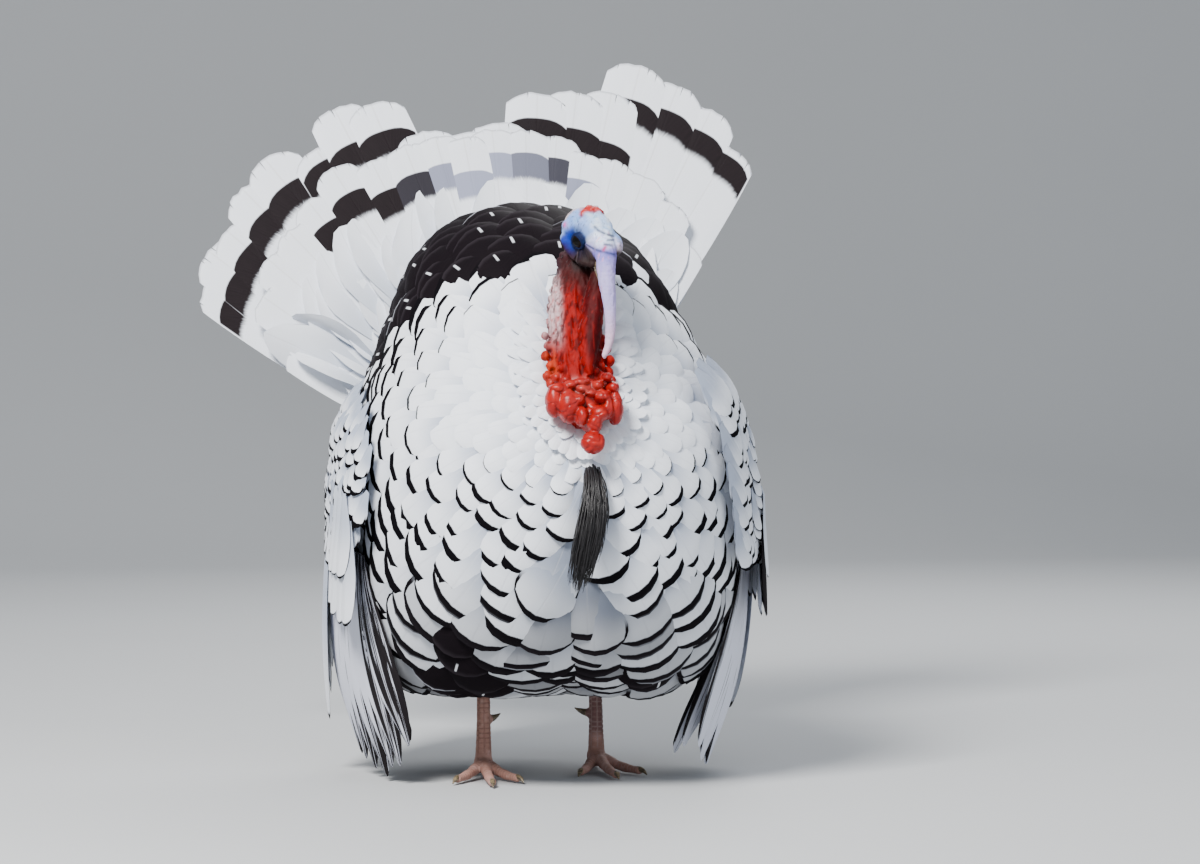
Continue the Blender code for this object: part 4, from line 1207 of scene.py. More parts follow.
def wing_coat():
    """The shoulder and lesser coverts, over the folded wing."""
    coat = Coat()
    spacing, across, flow = 0.0140, 0.0185, math.radians(44)
    for side, sign in (("right", -1), ("left", 1)):
        surface = Surface(*node_form(f"wing_{side}_coverts", 0.0))
        for i in range(-4, 30):
            for j in range(-16, 16):
                a = -0.03 + i * spacing
                b = (j + 0.5 * (i % 2) + random.uniform(-0.12, 0.12)) * across
                a += random.uniform(-0.10, 0.10) * spacing
                y = -0.135 + a * math.cos(flow) + b * math.sin(flow)
                z = 0.385 - a * math.sin(flow) + b * math.cos(flow)
                if z < WING_FORM[0][0]:
                    continue
                root, normal = surface.strike(at(sign * 0.5, y, z), (-sign, 0, 0), 0.5)
                if root is None or abs(root[0] - SHIFT[0]) < 0.08:
                    continue
                normal = normal * (1 if normal[0] * sign > 0 else -1)
                front = smoothstep(-0.02, -0.11, y)
                fall = flow + 0.35 * front + random.normal(0, 0.07)
                heading = np.array([0.0, math.cos(fall), -math.sin(fall)])
                heading = unit(heading - normal * np.dot(heading, normal))
                size = random.uniform(0.90, 1.08) * (1 - 0.18 * front)
                length, width = 0.052 * size, 0.037 * size
                start = root - normal * 0.0045
                out = normal * 0.0075
                middle = wing_follow(sign, start, heading, length / 2, 0.0) + out * 0.55
                end = wing_follow(sign, start, heading, length, 0.0) + out
                edge = random.uniform(0.085, 0.140) * (1 - (0.60 if sign > 0 else -0.15) * front)
                look, place = (edge, random.random() * 0.5, 0.0), (y + 0.3 if sign < 0 else y + 0.8, z)
                line = (start, middle, end, unit(np.cross(normal, heading)))
                coat.add(line, width, look, place, cup=0.20, round_tip=0.24)
    # the left wing's shoulder, which turns forward over the breast's side
    for i in range(5):
        for j in range(9):
            y = -0.182 + 0.0135 * i + random.uniform(-0.002, 0.002)
            z = 0.262 + 0.0185 * (j + 0.5 * (i % 2)) + random.uniform(-0.003, 0.003)
            start = wing_points(1, y, z, -0.012 + 0.0015 * i)
            normal = unit(wing_points(1, y, z, 0.01) - wing_points(1, y, z, 0.0))
            fall = 0.95 + random.normal(0, 0.08)
            heading = np.array([0.0, math.cos(fall), -math.sin(fall)])
            heading = unit(heading - normal * np.dot(heading, normal))
            length, width = 0.054 * random.uniform(0.92, 1.08), 0.044
            middle = wing_follow(1, start, heading, length / 2, 0.004)
            end = wing_follow(1, start, heading, length, 0.008)
            look = (random.uniform(0.06, 0.10), random.random() * 0.5, 0.0)
            line = (start, middle, end, unit(np.cross(normal, heading)))
            coat.add(line, width, look, (y + 1.2, z), cup=0.20, round_tip=0.20)
    return coat


def wing_follow(sign, start, heading, length, lift):
    """The point a length on from a start, kept as far from the wing's plan as the start is."""
    bird, onward = start - SHIFT, start + heading * length - SHIFT
    own = abs(bird[0]) - float(wing_plan(bird[1], bird[2]))
    place = np.array([0.0, onward[1], onward[2]])
    place[0] = sign * (float(wing_plan(onward[1], onward[2])) + own + lift)
    return place + SHIFT


# -------------------------------------------------------------------------------- head and neck

HEAD_AXES = np.array(Matrix.Rotation(math.radians(22), 3, "Z") @ Matrix.Rotation(math.radians(40), 3, "X"))
HEAD_PLACE = np.array([0.022, -0.178, 0.530])
HEAD_FORM = [  # distance behind the eyes, half width, top, bottom
    (0.0400, 0.0070, 0.0070, -0.0060),
    (0.0375, 0.0130, 0.0145, -0.0120),
    (0.0300, 0.0180, 0.0215, -0.0175),
    (0.0200, 0.0202, 0.0255, -0.0200),
    (0.0080, 0.0206, 0.0262, -0.0200),
    (-0.0050, 0.0190, 0.0235, -0.0190),
    (-0.0160, 0.0155, 0.0190, -0.0165),
    (-0.0240, 0.0122, 0.0140, -0.0135),
    (-0.0305, 0.0092, 0.0095, -0.0095),
]
EYE_RADIUS = (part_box("eye_left")[1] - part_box("eye_left")[0]).z / 2
EYES = [(0.0148, 0.0, 0.0035), (-0.0148, 0.0, 0.0035)]
EYE_OPENING = (0.0063, 0.0042)  # half length along the face, half height
EYE_SLANT = math.radians(-14)
EYE_TURN = (-0.40, 0.10)  # how far the opening looks forwards and up, against 1 sideways
# ridges over and under the eye, in the head's own axes: points and radii
BROW = (
    (
        (0.0125, -0.0190, 0.0085), (0.0180, -0.0090, 0.0120),
        (0.0198, 0.0010, 0.0132), (0.0190, 0.0130, 0.0110),
    ),
    (0.0022, 0.0032, 0.0034, 0.0022),
)
CHEEK = (
    (
        (0.0110, -0.0260, -0.0050), (0.0150, -0.0130, -0.0100),
        (0.0180, 0.0030, -0.0115), (0.0190, 0.0180, -0.0080),
    ),
    (0.0034, 0.0050, 0.0060, 0.0050),
)
FACE_LINES = [  # dark creases round the snood's root: side and height of their points
    ((0.0095, 0.5315), (0.0150, 0.5270), (0.0244, 0.5230), (0.0386, 0.5195)),
    ((0.0300, 0.5290), (0.0370, 0.5280)),
    ((0.0205, 0.5460), (0.0240, 0.5425), (0.0300, 0.5395)),
    ((0.0330, 0.5385), (0.0385, 0.5370)),
    ((0.0330, 0.5330), (0.0390, 0.5335)),
]
DEWLAP = [
    (0.505, 0.0260, -0.1900, 0.0070, 0.0095),
    (0.480, 0.0215, -0.1960, 0.0100, 0.0125),
    (0.450, 0.0150, -0.2060, 0.0115, 0.0140),
    (0.430, 0.0115, -0.2140, 0.0100, 0.0125),
    (0.415, 0.0105, -0.2230, 0.0065, 0.0085),
    (0.405, 0.0105, -0.2280, 0.0030, 0.0045),
]
SNOOD_PATH = [
    (0.0257, -0.1950, 0.5330),
    (0.0290, -0.2060, 0.5290),
    (0.0284, -0.2180, 0.5180),
    (0.0274, -0.2245, 0.5050),
    (0.0280, -0.2285, 0.4880),
    (0.0298, -0.2305, 0.4700),
    (0.0304, -0.2315, 0.4500),
    (0.0284, -0.2330, 0.4335),
    (0.0237, -0.2345, 0.4235),
]
SNOOD_RADII = (0.0090, 0.0104, 0.0100, 0.0092, 0.0078, 0.0060, 0.0050, 0.0042, 0.0028)
# lobes at the foot of the neck: middle, half sizes
LOBES = [
    ((0.0060, -0.2350, 0.3810), (0.0265, 0.0125, 0.0190)),
    ((0.0085, -0.2430, 0.3640), (0.0095, 0.0115, 0.0150)),
    ((-0.0261, -0.2395, 0.3797), (0.0082, 0.0125, 0.0150)),
    ((-0.0124, -0.2450, 0.3756), (0.0112, 0.0135, 0.0162)),
    ((-0.0215, -0.2405, 0.3926), (0.0100, 0.0105, 0.0056)),
    ((-0.0033, -0.2480, 0.3822), (0.0062, 0.0100, 0.0054)),
    ((-0.0013, -0.2520, 0.3662), (0.0060, 0.0110, 0.0100)),
    ((0.0105, -0.2545, 0.3600), (0.0078, 0.0110, 0.0098)),
    ((0.0084, -0.2590, 0.3417), (0.0120, 0.0108, 0.0108)),
    ((0.0160, -0.2525, 0.3690), (0.0090, 0.0110, 0.0082)),
    ((0.0331, -0.2400, 0.3741), (0.0082, 0.0135, 0.0172)),
    ((0.0243, -0.2470, 0.3745), (0.0060, 0.0110, 0.0120)),
    ((0.0200, -0.2460, 0.3850), (0.0085, 0.0110, 0.0062)),
    ((0.0311, -0.2390, 0.3935), (0.0070, 0.0105, 0.0060)),
    ((0.0160, -0.2420, 0.3960), (0.0060, 0.0095, 0.0050)),
    ((0.0250, -0.2390, 0.4030), (0.0062, 0.0090, 0.0044)),
    ((0.0080, -0.2460, 0.3885), (0.0060, 0.0085, 0.0038)),
    ((0.0010, -0.2420, 0.3925), (0.0075, 0.0080, 0.0034)),
    ((0.0005, -0.2405, 0.3990), (0.0085, 0.0080, 0.0034)),
    ((-0.0100, -0.2400, 0.3965), (0.0065, 0.0085, 0.0042)),
]
PEBBLES = [  # smaller lobes up both edges of the throat: side, height, size
    (0.0299, 0.4384, 0.0046), (0.0321, 0.4290, 0.0052), (0.0262, 0.4240, 0.0046),
    (0.0347, 0.4179, 0.0052), (0.0241, 0.4132, 0.0044), (0.0321, 0.4069, 0.0056),
    (0.0225, 0.4040, 0.0048), (0.0290, 0.4000, 0.0050), (0.0177, 0.4080, 0.0042),
    (0.0345, 0.3990, 0.0048), (-0.0256, 0.4416, 0.0042), (-0.0234, 0.4321, 0.0046),
    (-0.0270, 0.4226, 0.0046), (-0.0225, 0.4132, 0.0048), (-0.0191, 0.4022, 0.0048),
    (-0.0272, 0.4037, 0.0050), (-0.0150, 0.4110, 0.0038), (-0.0245, 0.3960, 0.0046),
    (-0.0120, 0.4000, 0.0044),
]


def from_head(points):
    """Places in the head's own axes, bill towards -Y, to places in the scene."""
    return np.asarray(points, float) @ HEAD_AXES.T + HEAD_PLACE + SHIFT


def to_head(points):
    return (points - SHIFT - HEAD_PLACE) @ HEAD_AXES


def loft_form(rings):
    """A closed form through rings of equally many points, capped by fans."""
    rings = np.asarray(rings, float)
    count, columns = rings.shape[:2]
    points = np.concatenate([rings.reshape(-1, 3), rings[:1].mean(1), rings[-1:].mean(1)])
    index = np.arange(count * columns).reshape(count, columns)
    after = np.roll(index, -1, axis=1)
    a, b, c, d = index[:-1], after[:-1], after[1:], index[1:]
    faces = [np.stack([a, b, c], -1).reshape(-1, 3), np.stack([a, c, d], -1).reshape(-1, 3)]
    first, last = count * columns, count * columns + 1
    faces.append(np.stack([after[0], index[0], np.full(columns, first)], -1))
    faces.append(np.stack([index[-1], after[-1], np.full(columns, last)], -1))
    return points, np.concatenate(faces)


def ball(centre, sizes, rows=14, columns=22):
    polar = np.linspace(0.06, math.pi - 0.06, rows)[:, None]
    turn = turns(columns)[None]
    out = np.sin(polar)
    shape = np.stack([out * np.cos(turn), out * np.sin(turn), -np.cos(polar) + 0 * turn], -1)
    return loft_form(shape * np.asarray(sizes) + np.asarray(centre))


def tube(path, radii, columns=16, steps=6):
    """A round tube through points, smoothed between them, with a rounded end."""
    path, radii = np.asarray(path, float), np.asarray(radii, float)
    knots = np.arange(len(path))
    fine = np.linspace(0, len(path) - 1, (len(path) - 1) * steps + 1)
    line = np.stack([np.interp(fine, knots, path[:, k]) for k in range(3)], 1)
    size = np.interp(fine, knots, radii)
    for _ in range(steps):
        line[1:-1] = (line[:-2] + 2 * line[1:-1] + line[2:]) / 4
        size[1:-1] = (size[:-2] + 2 * size[1:-1] + size[2:]) / 4
    ahead = unit(np.gradient(line, axis=0))
    ends = []
    for k in (0, -1):
        way = ahead[k] * (-1 if k == 0 else 1)
        ends.append([(line[k] + way * size[k] * math.sin(u), size[k] * math.cos(u)) for u in (0.5, 1.0, 1.4)])
    line = np.concatenate([[p for p, _ in ends[0][::-1]], line, [p for p, _ in ends[1]]])
    size = np.concatenate([[r for _, r in ends[0][::-1]], size, [r for _, r in ends[1]]])
    ahead = np.concatenate([np.repeat(ahead[:1], 3, 0), ahead, np.repeat(ahead[-1:], 3, 0)])
    side = unit(np.cross(ahead, (0.31, 0.17, 0.93)))
    other = np.cross(side, ahead)
    turn = turns(columns)[None, :, None]
    circle = np.cos(turn) * side[:, None] + np.sin(turn) * other[:, None]
    rings = line[:, None] + size[:, None, None] * circle
    return loft_form(rings)


def column_form(rows, columns=28, roundness=2.0, steps=6):
    """A closed form from a table of height, side shift, middle front to back, half width and half depth."""
    rows = sorted(rows)
    heights = np.linspace(rows[0][0], rows[-1][0], len(rows) * steps)
    found = table(rows, heights)
    turn = turns(columns)
    wide = boxed(np.cos(turn), 2 / roundness)
    deep = boxed(np.sin(turn), 2 / roundness)
    rings = np.stack([
        found[:, 0:1] + found[:, 2:3] * wide,
        found[:, 1:2] + found[:, 3:4] * deep,
        np.repeat(heights[:, None], columns, 1),
    ], -1)
    return loft_form(rings + SHIFT)


def skull_form():
    behind = np.linspace(-0.0305, 0.0400, 30)
    found = table(HEAD_FORM, behind)
    turn = turns(30)
    wide = boxed(np.cos(turn), 0.92)
    tall = boxed(np.sin(turn), 0.92)
    middle, half = (found[:, 1:2] + found[:, 2:3]) / 2, (found[:, 1:2] - found[:, 2:3]) / 2
    rings = np.stack([found[:, 0:1] * wide, np.repeat(behind[:, None], 30, 1), middle + half * tall], -1)
    return loft_form(from_head(rings)[:, ::-1])


def scene_ball(centre, sizes):
    return ball(np.asarray(centre) + SHIFT, sizes)


def head_ball(centre, sizes):
    points, faces = ball(centre, sizes)
    return from_head(points), faces


def head_tube(path, radii):
    points, faces = tube(path, radii)
    return from_head(points), faces


def throat_front(height, side):
    """How far forward the neck's surface lies at a height and a side place."""
    shift, middle, half_width, half_depth = table(NECK, height).T
    share = np.clip((side - shift) / half_width, -0.96, 0.96)
    return middle - half_depth * np.sqrt(1 - share**2)


def head_form():
    """Head, snood, neck and lobes as one fine closed surface."""
    forms = [skull_form(), column_form(NECK), column_form(DEWLAP)]
    forms.append(tube(np.array(SNOOD_PATH) + SHIFT, SNOOD_RADII, steps=8))
    forms.append(head_ball((0.0, 0.0040, 0.0120), (0.0190, 0.0290, 0.0165)))
    forms.append(head_ball((0.0, -0.0200, 0.0070), (0.0135, 0.0140, 0.0105)))
    forms.append(head_ball((0.0100, -0.0120, 0.0100), (0.0120, 0.0160, 0.0120)))
    for sign in (-1, 1):
        for path, radii in (BROW, CHEEK):
            forms.append(head_tube(np.array(path) * (sign, 1, 1), radii))
        forms.append(head_ball((sign * 0.0185, 0.0230, 0.0010), (0.0040, 0.0070, 0.0080)))
    # red lumps on the back of the crown
    for _ in range(16):
        u, v = random.uniform(-1, 1), random.uniform(-1, 1)
        place = (0.012 * u, 0.022 + 0.011 * v, 0.0245 - 0.004 * u * u - 0.003 * v)
        forms.append(head_ball(place, np.array([0.0042, 0.0046, 0.0034]) * random.uniform(0.7, 1.15)))
    # the nape's pebbles
    for _ in range(150):
        height = random.uniform(0.405, 0.545)
        shift, middle, half_width, half_depth = table(NECK, height)
        turn = random.uniform(-0.25, math.pi + 0.25)
        place = (shift + half_width * math.cos(turn), middle + half_depth * math.sin(turn), height)
        forms.append(scene_ball(place, np.array([0.0030, 0.0030, 0.0036]) * random.uniform(0.7, 1.3)))
    for centre, sizes in LOBES:
        forms.append(scene_ball(centre, sizes))
    for side, height, size in PEBBLES:
        front = float(throat_front(height, side)) - 0.001
        forms.append(scene_ball((side, max(front, -0.236), height), (size, size * 1.15, size * 1.05)))
    # folds that run down the throat
    for k in range(15):
        side = -0.019 + 0.0030 * k
        path, heights = [], np.linspace(random.uniform(0.470, 0.495), random.uniform(0.398, 0.420), 6)
        for height in heights:
            shift = float(table(NECK, height)[0])
            across = side * (1.05 if side < 0.01 else 0.85) + shift * 0.4 + random.normal(0, 0.0010)
            path.append((across, float(throat_front(height, across)) - 0.0004, height))
        radii = np.array([0.0008, 0.0020, 0.0024, 0.0024, 0.0020, 0.0010]) * random.uniform(0.7, 1.15)
        forms.append(tube(np.array(path) + SHIFT, radii, columns=10))
    return forms


def open_eyes(points, far=2.6):
    """Pushes the skin back from each eye's opening and raises the lids round it."""
    local = to_head(points)
    for centre in EYES:
        away = local - centre
        reach = np.linalg.norm(away, axis=1)
        way = unit(away)
        outward = unit(np.array([math.copysign(1.0, centre[0]), *EYE_TURN]))
        ahead = unit(np.array([0.0, -math.cos(EYE_SLANT), math.sin(EYE_SLANT)]))
        ahead = unit(ahead - outward * np.dot(ahead, outward))
        above = np.cross(outward, ahead) * math.copysign(1.0, centre[0]) * -1
        above = above if above[2] > 0 else -above
        side = way @ outward
        u, v = way @ ahead * EYE_RADIUS, way @ above * EYE_RADIUS
        open_share = np.sqrt((u / EYE_OPENING[0]) ** 2 + (v / EYE_OPENING[1]) ** 2)
        close = (side > 0.1) & (reach < 0.020)
        inside = close & (open_share < 1.0)
        lid = hill(open_share - 1.18, 0.20) * 0.0008 + hill(open_share - 1.62, 0.16) * 0.0006
        groove = hill(open_share - 1.45, 0.10) * 0.0003
        fade = smoothstep(far, 1.5, open_share)
        wanted = np.where(inside, EYE_RADIUS * 0.90, EYE_RADIUS + 0.0004 + lid - groove)
        blend = np.where(inside, 1.0, fade) * close
        local = local + (way * (wanted - reach)[:, None]) * blend[:, None]
    return from_head(local)


def drawn(bird, path, radius):
    """Share of a line drawn on the face, whose points give side and height as seen from the front."""
    flat = np.stack([bird[:, 0] - VIEW_SLANT * (bird[:, 1] + 0.20), bird[:, 2]], 1)
    gap = np.full(len(bird), 1.0)
    for a, b in zip(np.array(path[:-1]), np.array(path[1:])):
        share = np.clip(((flat - a) @ (b - a)) / ((b - a) @ (b - a)), 0, 1)
        gap = np.minimum(gap, np.linalg.norm(flat - a - share[:, None] * (b - a), axis=1))
    return hill(gap, radius)


def from_eyes(local):
    """Distance to the nearer eye's middle, in the head's own axes."""
    return np.minimum(*[np.linalg.norm(local - centre, axis=1) for centre in EYES])


def round_eyes(points):
    """Share of the smoothing that the skin just outside the lids gets."""
    away = from_eyes(to_head(points))
    return smoothstep(0.0080, 0.0100, away) * smoothstep(0.021, 0.016, away)


def over(tone, colour, share):
    """One colour laid over others by its share at every point."""
    return tone + (np.asarray(colour) - tone) * share[:, None]


def weights(*pairs):
    """Blends colours one over another: each pair is a colour and its share at every point."""
    tone = np.zeros((len(pairs[0][1]), 3))
    for colour, share in pairs:
        tone = over(tone, colour, np.clip(share, 0, 1))
    return tone


def near(points, centre, size):
    """A soft blob round a centre, 1 at its middle."""
    return np.exp(-(((points - np.asarray(centre)) / np.asarray(size)) ** 2).sum(1))


def near_eyes(local, size):
    return np.maximum(near(local, EYES[0], size), near(local, EYES[1], size))


def snood_share(bird):
    """1 on the snood, 0 away from it."""
    path, radii = np.array(SNOOD_PATH), np.array(SNOOD_RADII)
    shares = (0.0, 0.25, 0.5, 0.75)
    fine_path = np.concatenate([*(path[:-1] + np.diff(path, axis=0) * s for s in shares), path[-1:]])
    fine_radii = np.concatenate([*(radii[:-1] + np.diff(radii) * s for s in shares), radii[-1:]])
    gap = np.linalg.norm(bird[:, None] - fine_path[None], axis=2) / fine_radii[None]
    return smoothstep(1.5, 1.12, gap.min(1))


def hollows(mesh, rounds=14):
    """How far each point lies below the mean of its surroundings: positive in creases, negative on ridges."""
    points = mesh_points(mesh)
    return ((relaxed(points, mesh_edges(mesh), rounds) - points) * mesh_normals(mesh)).sum(1)


def head_tints(points, normals, hollow):
    """Colour and finish of the bare skin of head and neck, with painted shade in its creases and under the
    head, and painted highlights.
    """
    bird, local = points - SHIFT, to_head(points)
    x, y, z = bird.T
    patch = hash_noise(bird, 0.006, 3)
    fine = hash_noise(bird, 0.0022, 4)
    streak = hash_noise(bird * (1.0, 1.0, 0.16), 0.0026, 6)
    speck = cell_noise(bird, 0.0040, 7)
    front = smoothstep(0.35, -0.10, normals[:, 1])
    white = (0.60, 0.50, 0.52)
    everywhere = np.ones(len(x))
    throat = smoothstep(0.520, 0.500, z) * front
    left_throat_shade = smoothstep(0.004, 0.012, x) * smoothstep(0.032, 0.024, x) * smoothstep(0.405, 0.430, z)
    edge = smoothstep(-0.010, -0.0185, x - table(NECK, z)[..., 0] * 0.6)
    tone = weights(
        (white, everywhere),
        ((0.52, 0.24, 0.25), 0.5 * smoothstep(0.1, 0.7, streak)),
        ((0.10, 0.04, 0.05), 0.75 * smoothstep(0.62, 0.88, speck)),
        ((0.235, 0.0014, 0.0010), throat * (1 - 0.75 * edge * smoothstep(0.42, 0.46, z))),
        # deep maroon painted shade on the throat's left front
        ((0.045, 0.0010, 0.0020), throat * 0.9 * left_throat_shade),
        ((0.36, 0.016, 0.012), throat * 0.35 * smoothstep(0.35, 0.80, streak)),
        ((0.045, 0.0010, 0.0015), throat * 0.70 * smoothstep(0.10, 0.55, -streak)),
    )
    # lobes
    lobes = smoothstep(0.408, 0.398, z - 0.32 * np.maximum(0, np.abs(x - 0.006) - 0.016))
    lobes = lobes * smoothstep(-0.205, -0.222, y)
    chain = smoothstep(0.452, 0.440, z) * smoothstep(0.0205, 0.0235, np.abs(x - 0.0040))
    chain = chain * smoothstep(-0.195, -0.207, y)
    red = weights(
        ((0.31, 0.0026, 0.0012), everywhere),
        ((0.42, 0.0085, 0.0026), smoothstep(-0.2, 0.8, patch)),
        ((0.15, 0.0012, 0.0016), 0.5 * smoothstep(0.2, 0.8, -fine)),
    )
    tone = over(tone, red, np.maximum(lobes, 0.9 * chain))
    # a painted highlight in orange-red on the chain's right-hand side, which faces the light
    tone = over(tone, (0.46, 0.060, 0.016), 0.45 * chain * (1 - lobes) * smoothstep(0.004, -0.004, x))
    folds = near(bird, (0.002, -0.236, 0.392), (0.013, 0.02, 0.008))
    tone = over(tone, (0.42, 0.075, 0.060), 0.6 * folds)
    # head
    head = smoothstep(0.505, 0.520, z + 0.55 * (y + 0.178)) * smoothstep(0.036, 0.026, local[:, 1])
    lx, ly, lz = local.T
    sides = smoothstep(0.006, 0.013, np.abs(lx))
    blue_zone = sides * smoothstep(0.0215, 0.0135, np.sqrt((ly - 0.002) ** 2 + ((lz + 0.005) * 0.95) ** 2))
    red_crown = smoothstep(0.011, 0.017, ly) * smoothstep(0.0185, 0.0225, lz)
    skull = weights(
        ((0.42, 0.56, 0.80), everywhere),
        ((0.66, 0.73, 0.84), smoothstep(-0.1, 0.7, patch)),
        ((0.12, 0.26, 0.66), 0.75 * smoothstep(0.020, 0.008, np.abs(lz - 0.010)) * sides),
        ((0.80, 0.62, 0.74), 0.7 * smoothstep(-0.014, -0.024, ly) * smoothstep(0.0, 0.006, lz)),
        ((0.10, 0.30, 0.50), 0.5 * smoothstep(0.70, 0.95, speck)),
        ((0.001, 0.020, 0.30), 0.98 * blue_zone),
        ((0.005, 0.060, 0.15), 0.85 * sides * near(local[:, 1:], (-0.004, -0.0125), (0.009, 0.0045))),
        ((0.012, 0.008, 0.020), 0.92 * sides * near(local[:, 1:], (0.000, 0.0035), (0.0088, 0.0066))),
        ((0.006, 0.06, 0.13), 0.8 * sides * near(local[:, 1:], (-0.0165, -0.0010), (0.0075, 0.0022))),
        # painted shade under the eye, down towards the jaw
        ((0.012, 0.012, 0.014), 0.92 * sides * near(local[:, 1:], (-0.0105, -0.0125), (0.0100, 0.0050))),
        # painted shade on the underside of the head
        ((0.030, 0.006, 0.008), 0.96 * smoothstep(-0.0080, -0.0125, lz)),
        ((0.42, 0.020, 0.020), red_crown),
        ((0.62, 0.22, 0.20), 0.6 * red_crown * smoothstep(0.2, 0.8, fine)),
        ((0.70, 0.06, 0.30), near(local, (-0.0190, 0.0235, 0.0040), (0.006, 0.0028, 0.0028))),
    )
    tone = over(tone, skull, head)
    lids = smoothstep(EYE_RADIUS + 0.0030, EYE_RADIUS + 0.0016, from_eyes(local))
    tone = over(tone, (0.005, 0.010, 0.040), 0.95 * lids)
    shade = smoothstep(0.474, 0.500, z) * smoothstep(0.530, 0.512, z) * smoothstep(-0.014, -0.004, x) * front
    shade = shade * np.maximum(1 - head, smoothstep(-0.010, -0.014, lz))
    tone = over(tone, (0.030, 0.004, 0.004), 0.92 * shade)
    # painted shade just under the jaw
    under = smoothstep(0.5250, 0.5200, z) * smoothstep(0.500, 0.507, z) * smoothstep(0.000, 0.005, x) * front
    tone = over(tone, (0.018, 0.010, 0.010), 0.90 * under)
    snood = snood_share(bird)
    lilac = weights(
        ((0.44, 0.38, 0.68), everywhere),
        ((0.11, 0.10, 0.48), 0.75 * smoothstep(0.500, 0.522, z) * smoothstep(0.530, 0.520, z)),
        ((0.66, 0.74, 0.92), smoothstep(0.522, 0.534, z)),
        ((0.66, 0.44, 0.52), smoothstep(0.480, 0.430, z) * 0.8),
        ((0.80, 0.34, 0.52), 0.5 * smoothstep(0.35, 0.8, streak)),
        ((0.30, 0.22, 0.62), 0.45 * smoothstep(0.35, 0.8, -streak) * smoothstep(0.470, 0.510, z)),
    )
    tone = over(tone, lilac, snood)
    face = smoothstep(0.2, -0.2, normals[:, 1])
    for path in FACE_LINES:
        tone = over(tone, (0.010, 0.030, 0.090), 0.95 * face * drawn(bird, path, 0.0014) * (0.8 + 0.2 * fine))
    pink_mark = drawn(bird, ((0.0290, 0.5240), (0.0305, 0.5262)), 0.0016)
    tone = over(tone, (0.42, 0.010, 0.10), 0.85 * face * pink_mark)
    # painted shade darkens the creases and a painted highlight lightens the ridges
    crease = smoothstep(0.00010, 0.00075, hollow)
    ridge_highlight = smoothstep(0.00005, 0.00060, -hollow)
    reddish = np.clip(tone[:, 0] - tone[:, 2] * 1.2, 0, 1)
    tone = tone * (1 - crease * (0.35 + 0.45 * reddish))[:, None]
    tone = over(tone, (0.45, 0.035, 0.025), 0.12 * ridge_highlight * reddish * (1 - lobes))
    wet = np.stack([
        np.clip(0.10 + 0.90 * lobes + 0.15 * snood, 0, 1),
        np.clip(0.55 + 0.3 * throat + 0.35 * head - 0.30 * lobes, 0, 1),
        0 * everywhere,
        everywhere,
    ], 1)
    return tone, wet


def crinkled(points, normals):
    """Wrinkles and creases of the bare skin."""
    bird, local = points - SHIFT, to_head(points)
    snood = snood_share(bird)
    head = smoothstep(0.515, 0.530, bird[:, 2] + 0.55 * (bird[:, 1] + 0.178)) * (1 - snood)
    lobes = smoothstep(0.41, 0.395, bird[:, 2])
    neck = (1 - head) * (1 - lobes) * (1 - snood)
    eye = near_eyes(local, (0.009, 0.011, 0.009))
    side = smoothstep(0.35, 0.75, np.abs(normals[:, 0]) + np.maximum(normals[:, 1], 0))
    pebbles = 0.0008 * smoothstep(0.45, 0.9, cell_noise(bird, 0.0042, 9))
    height = neck * side * (0.0004 * hash_noise(bird, 0.0040, 8) - pebbles)
    height += neck * (1 - 0.6 * side) * 0.0010 * hash_noise(bird * (1, 1, 0.14), 0.0030, 13)
    folds = 0.0007 * hill(hash_noise(bird, 0.0085, 11), 0.10)
    height += head * (1 - eye) * (0.0005 * hash_noise(bird, 0.005, 10) - folds)
    folds = 0.0010 * hill(hash_noise(bird, 0.0110, 15), 0.07)
    height += lobes * (0.0008 * hash_noise(bird, 0.0062, 12) - folds)
    folds = 0.0004 * hill(hash_noise(bird * (0.4, 0.4, 1), 0.0036, 16), 0.15)
    height += snood * (0.0006 * hash_noise(bird * (1, 1, 0.25), 0.0030, 14) - folds)
    return points + normals * height[:, None]


# -------------------------------------------------------------------------------- legs

LEGS = {"right": (-1, -0.024), "left": (1, 0.022)}
LEG_SPREAD = 0.061
SHANK_RADIUS = 0.0076
TOES = ((-24.0, 0.062), (3.0, 0.088), (32.0, 0.064), (172.0, 0.036))
TOE_RADIUS = 0.0063
SCUTE = 0.0050


def shank_path(sign, ankle_y):
    t = np.linspace(0, 1, 8)
    return np.stack([sign * (LEG_SPREAD - 0.001 * t), ankle_y + 0.012 * t * t, 0.020 + 0.130 * t], 1)


def toe_path(sign, ankle_y, degrees, length):
    angle = math.radians(degrees)
    t = np.linspace(0, 1, 9)
    x = sign * LEG_SPREAD + sign * math.sin(angle) * length * t
    y = ankle_y - math.cos(angle) * length * t
    z = 0.0054 + 0.0125 * (1 - t) ** 2.2
    return np.stack([x, y, z], 1)


def leg_forms():
    forms = []
    for sign, ankle_y in LEGS.values():
        radii = SHANK_RADIUS * (1.12 - 0.22 * np.sin(math.pi * np.minimum(1, np.linspace(0, 1, 8) * 1.15)))
        forms.append(tube(shank_path(sign, ankle_y) + SHIFT, radii, steps=4))
        forms.append(ball(at(sign * LEG_SPREAD, ankle_y, 0.0150), (0.0098, 0.0105, 0.0110)))
        for degrees, length in TOES:
            t = np.linspace(0, 1, 9)
            radii = TOE_RADIUS * (1 + 0.13 * np.cos(6 * math.pi * t)) * (1 - 0.40 * t)
            forms.append(tube(toe_path(sign, ankle_y, degrees, length) + SHIFT, radii, steps=4))
        forms.append(ball(at(sign * (LEG_SPREAD - 0.0055), ankle_y + 0.005, 0.058), (0.0052, 0.0052, 0.0056)))
    return forms


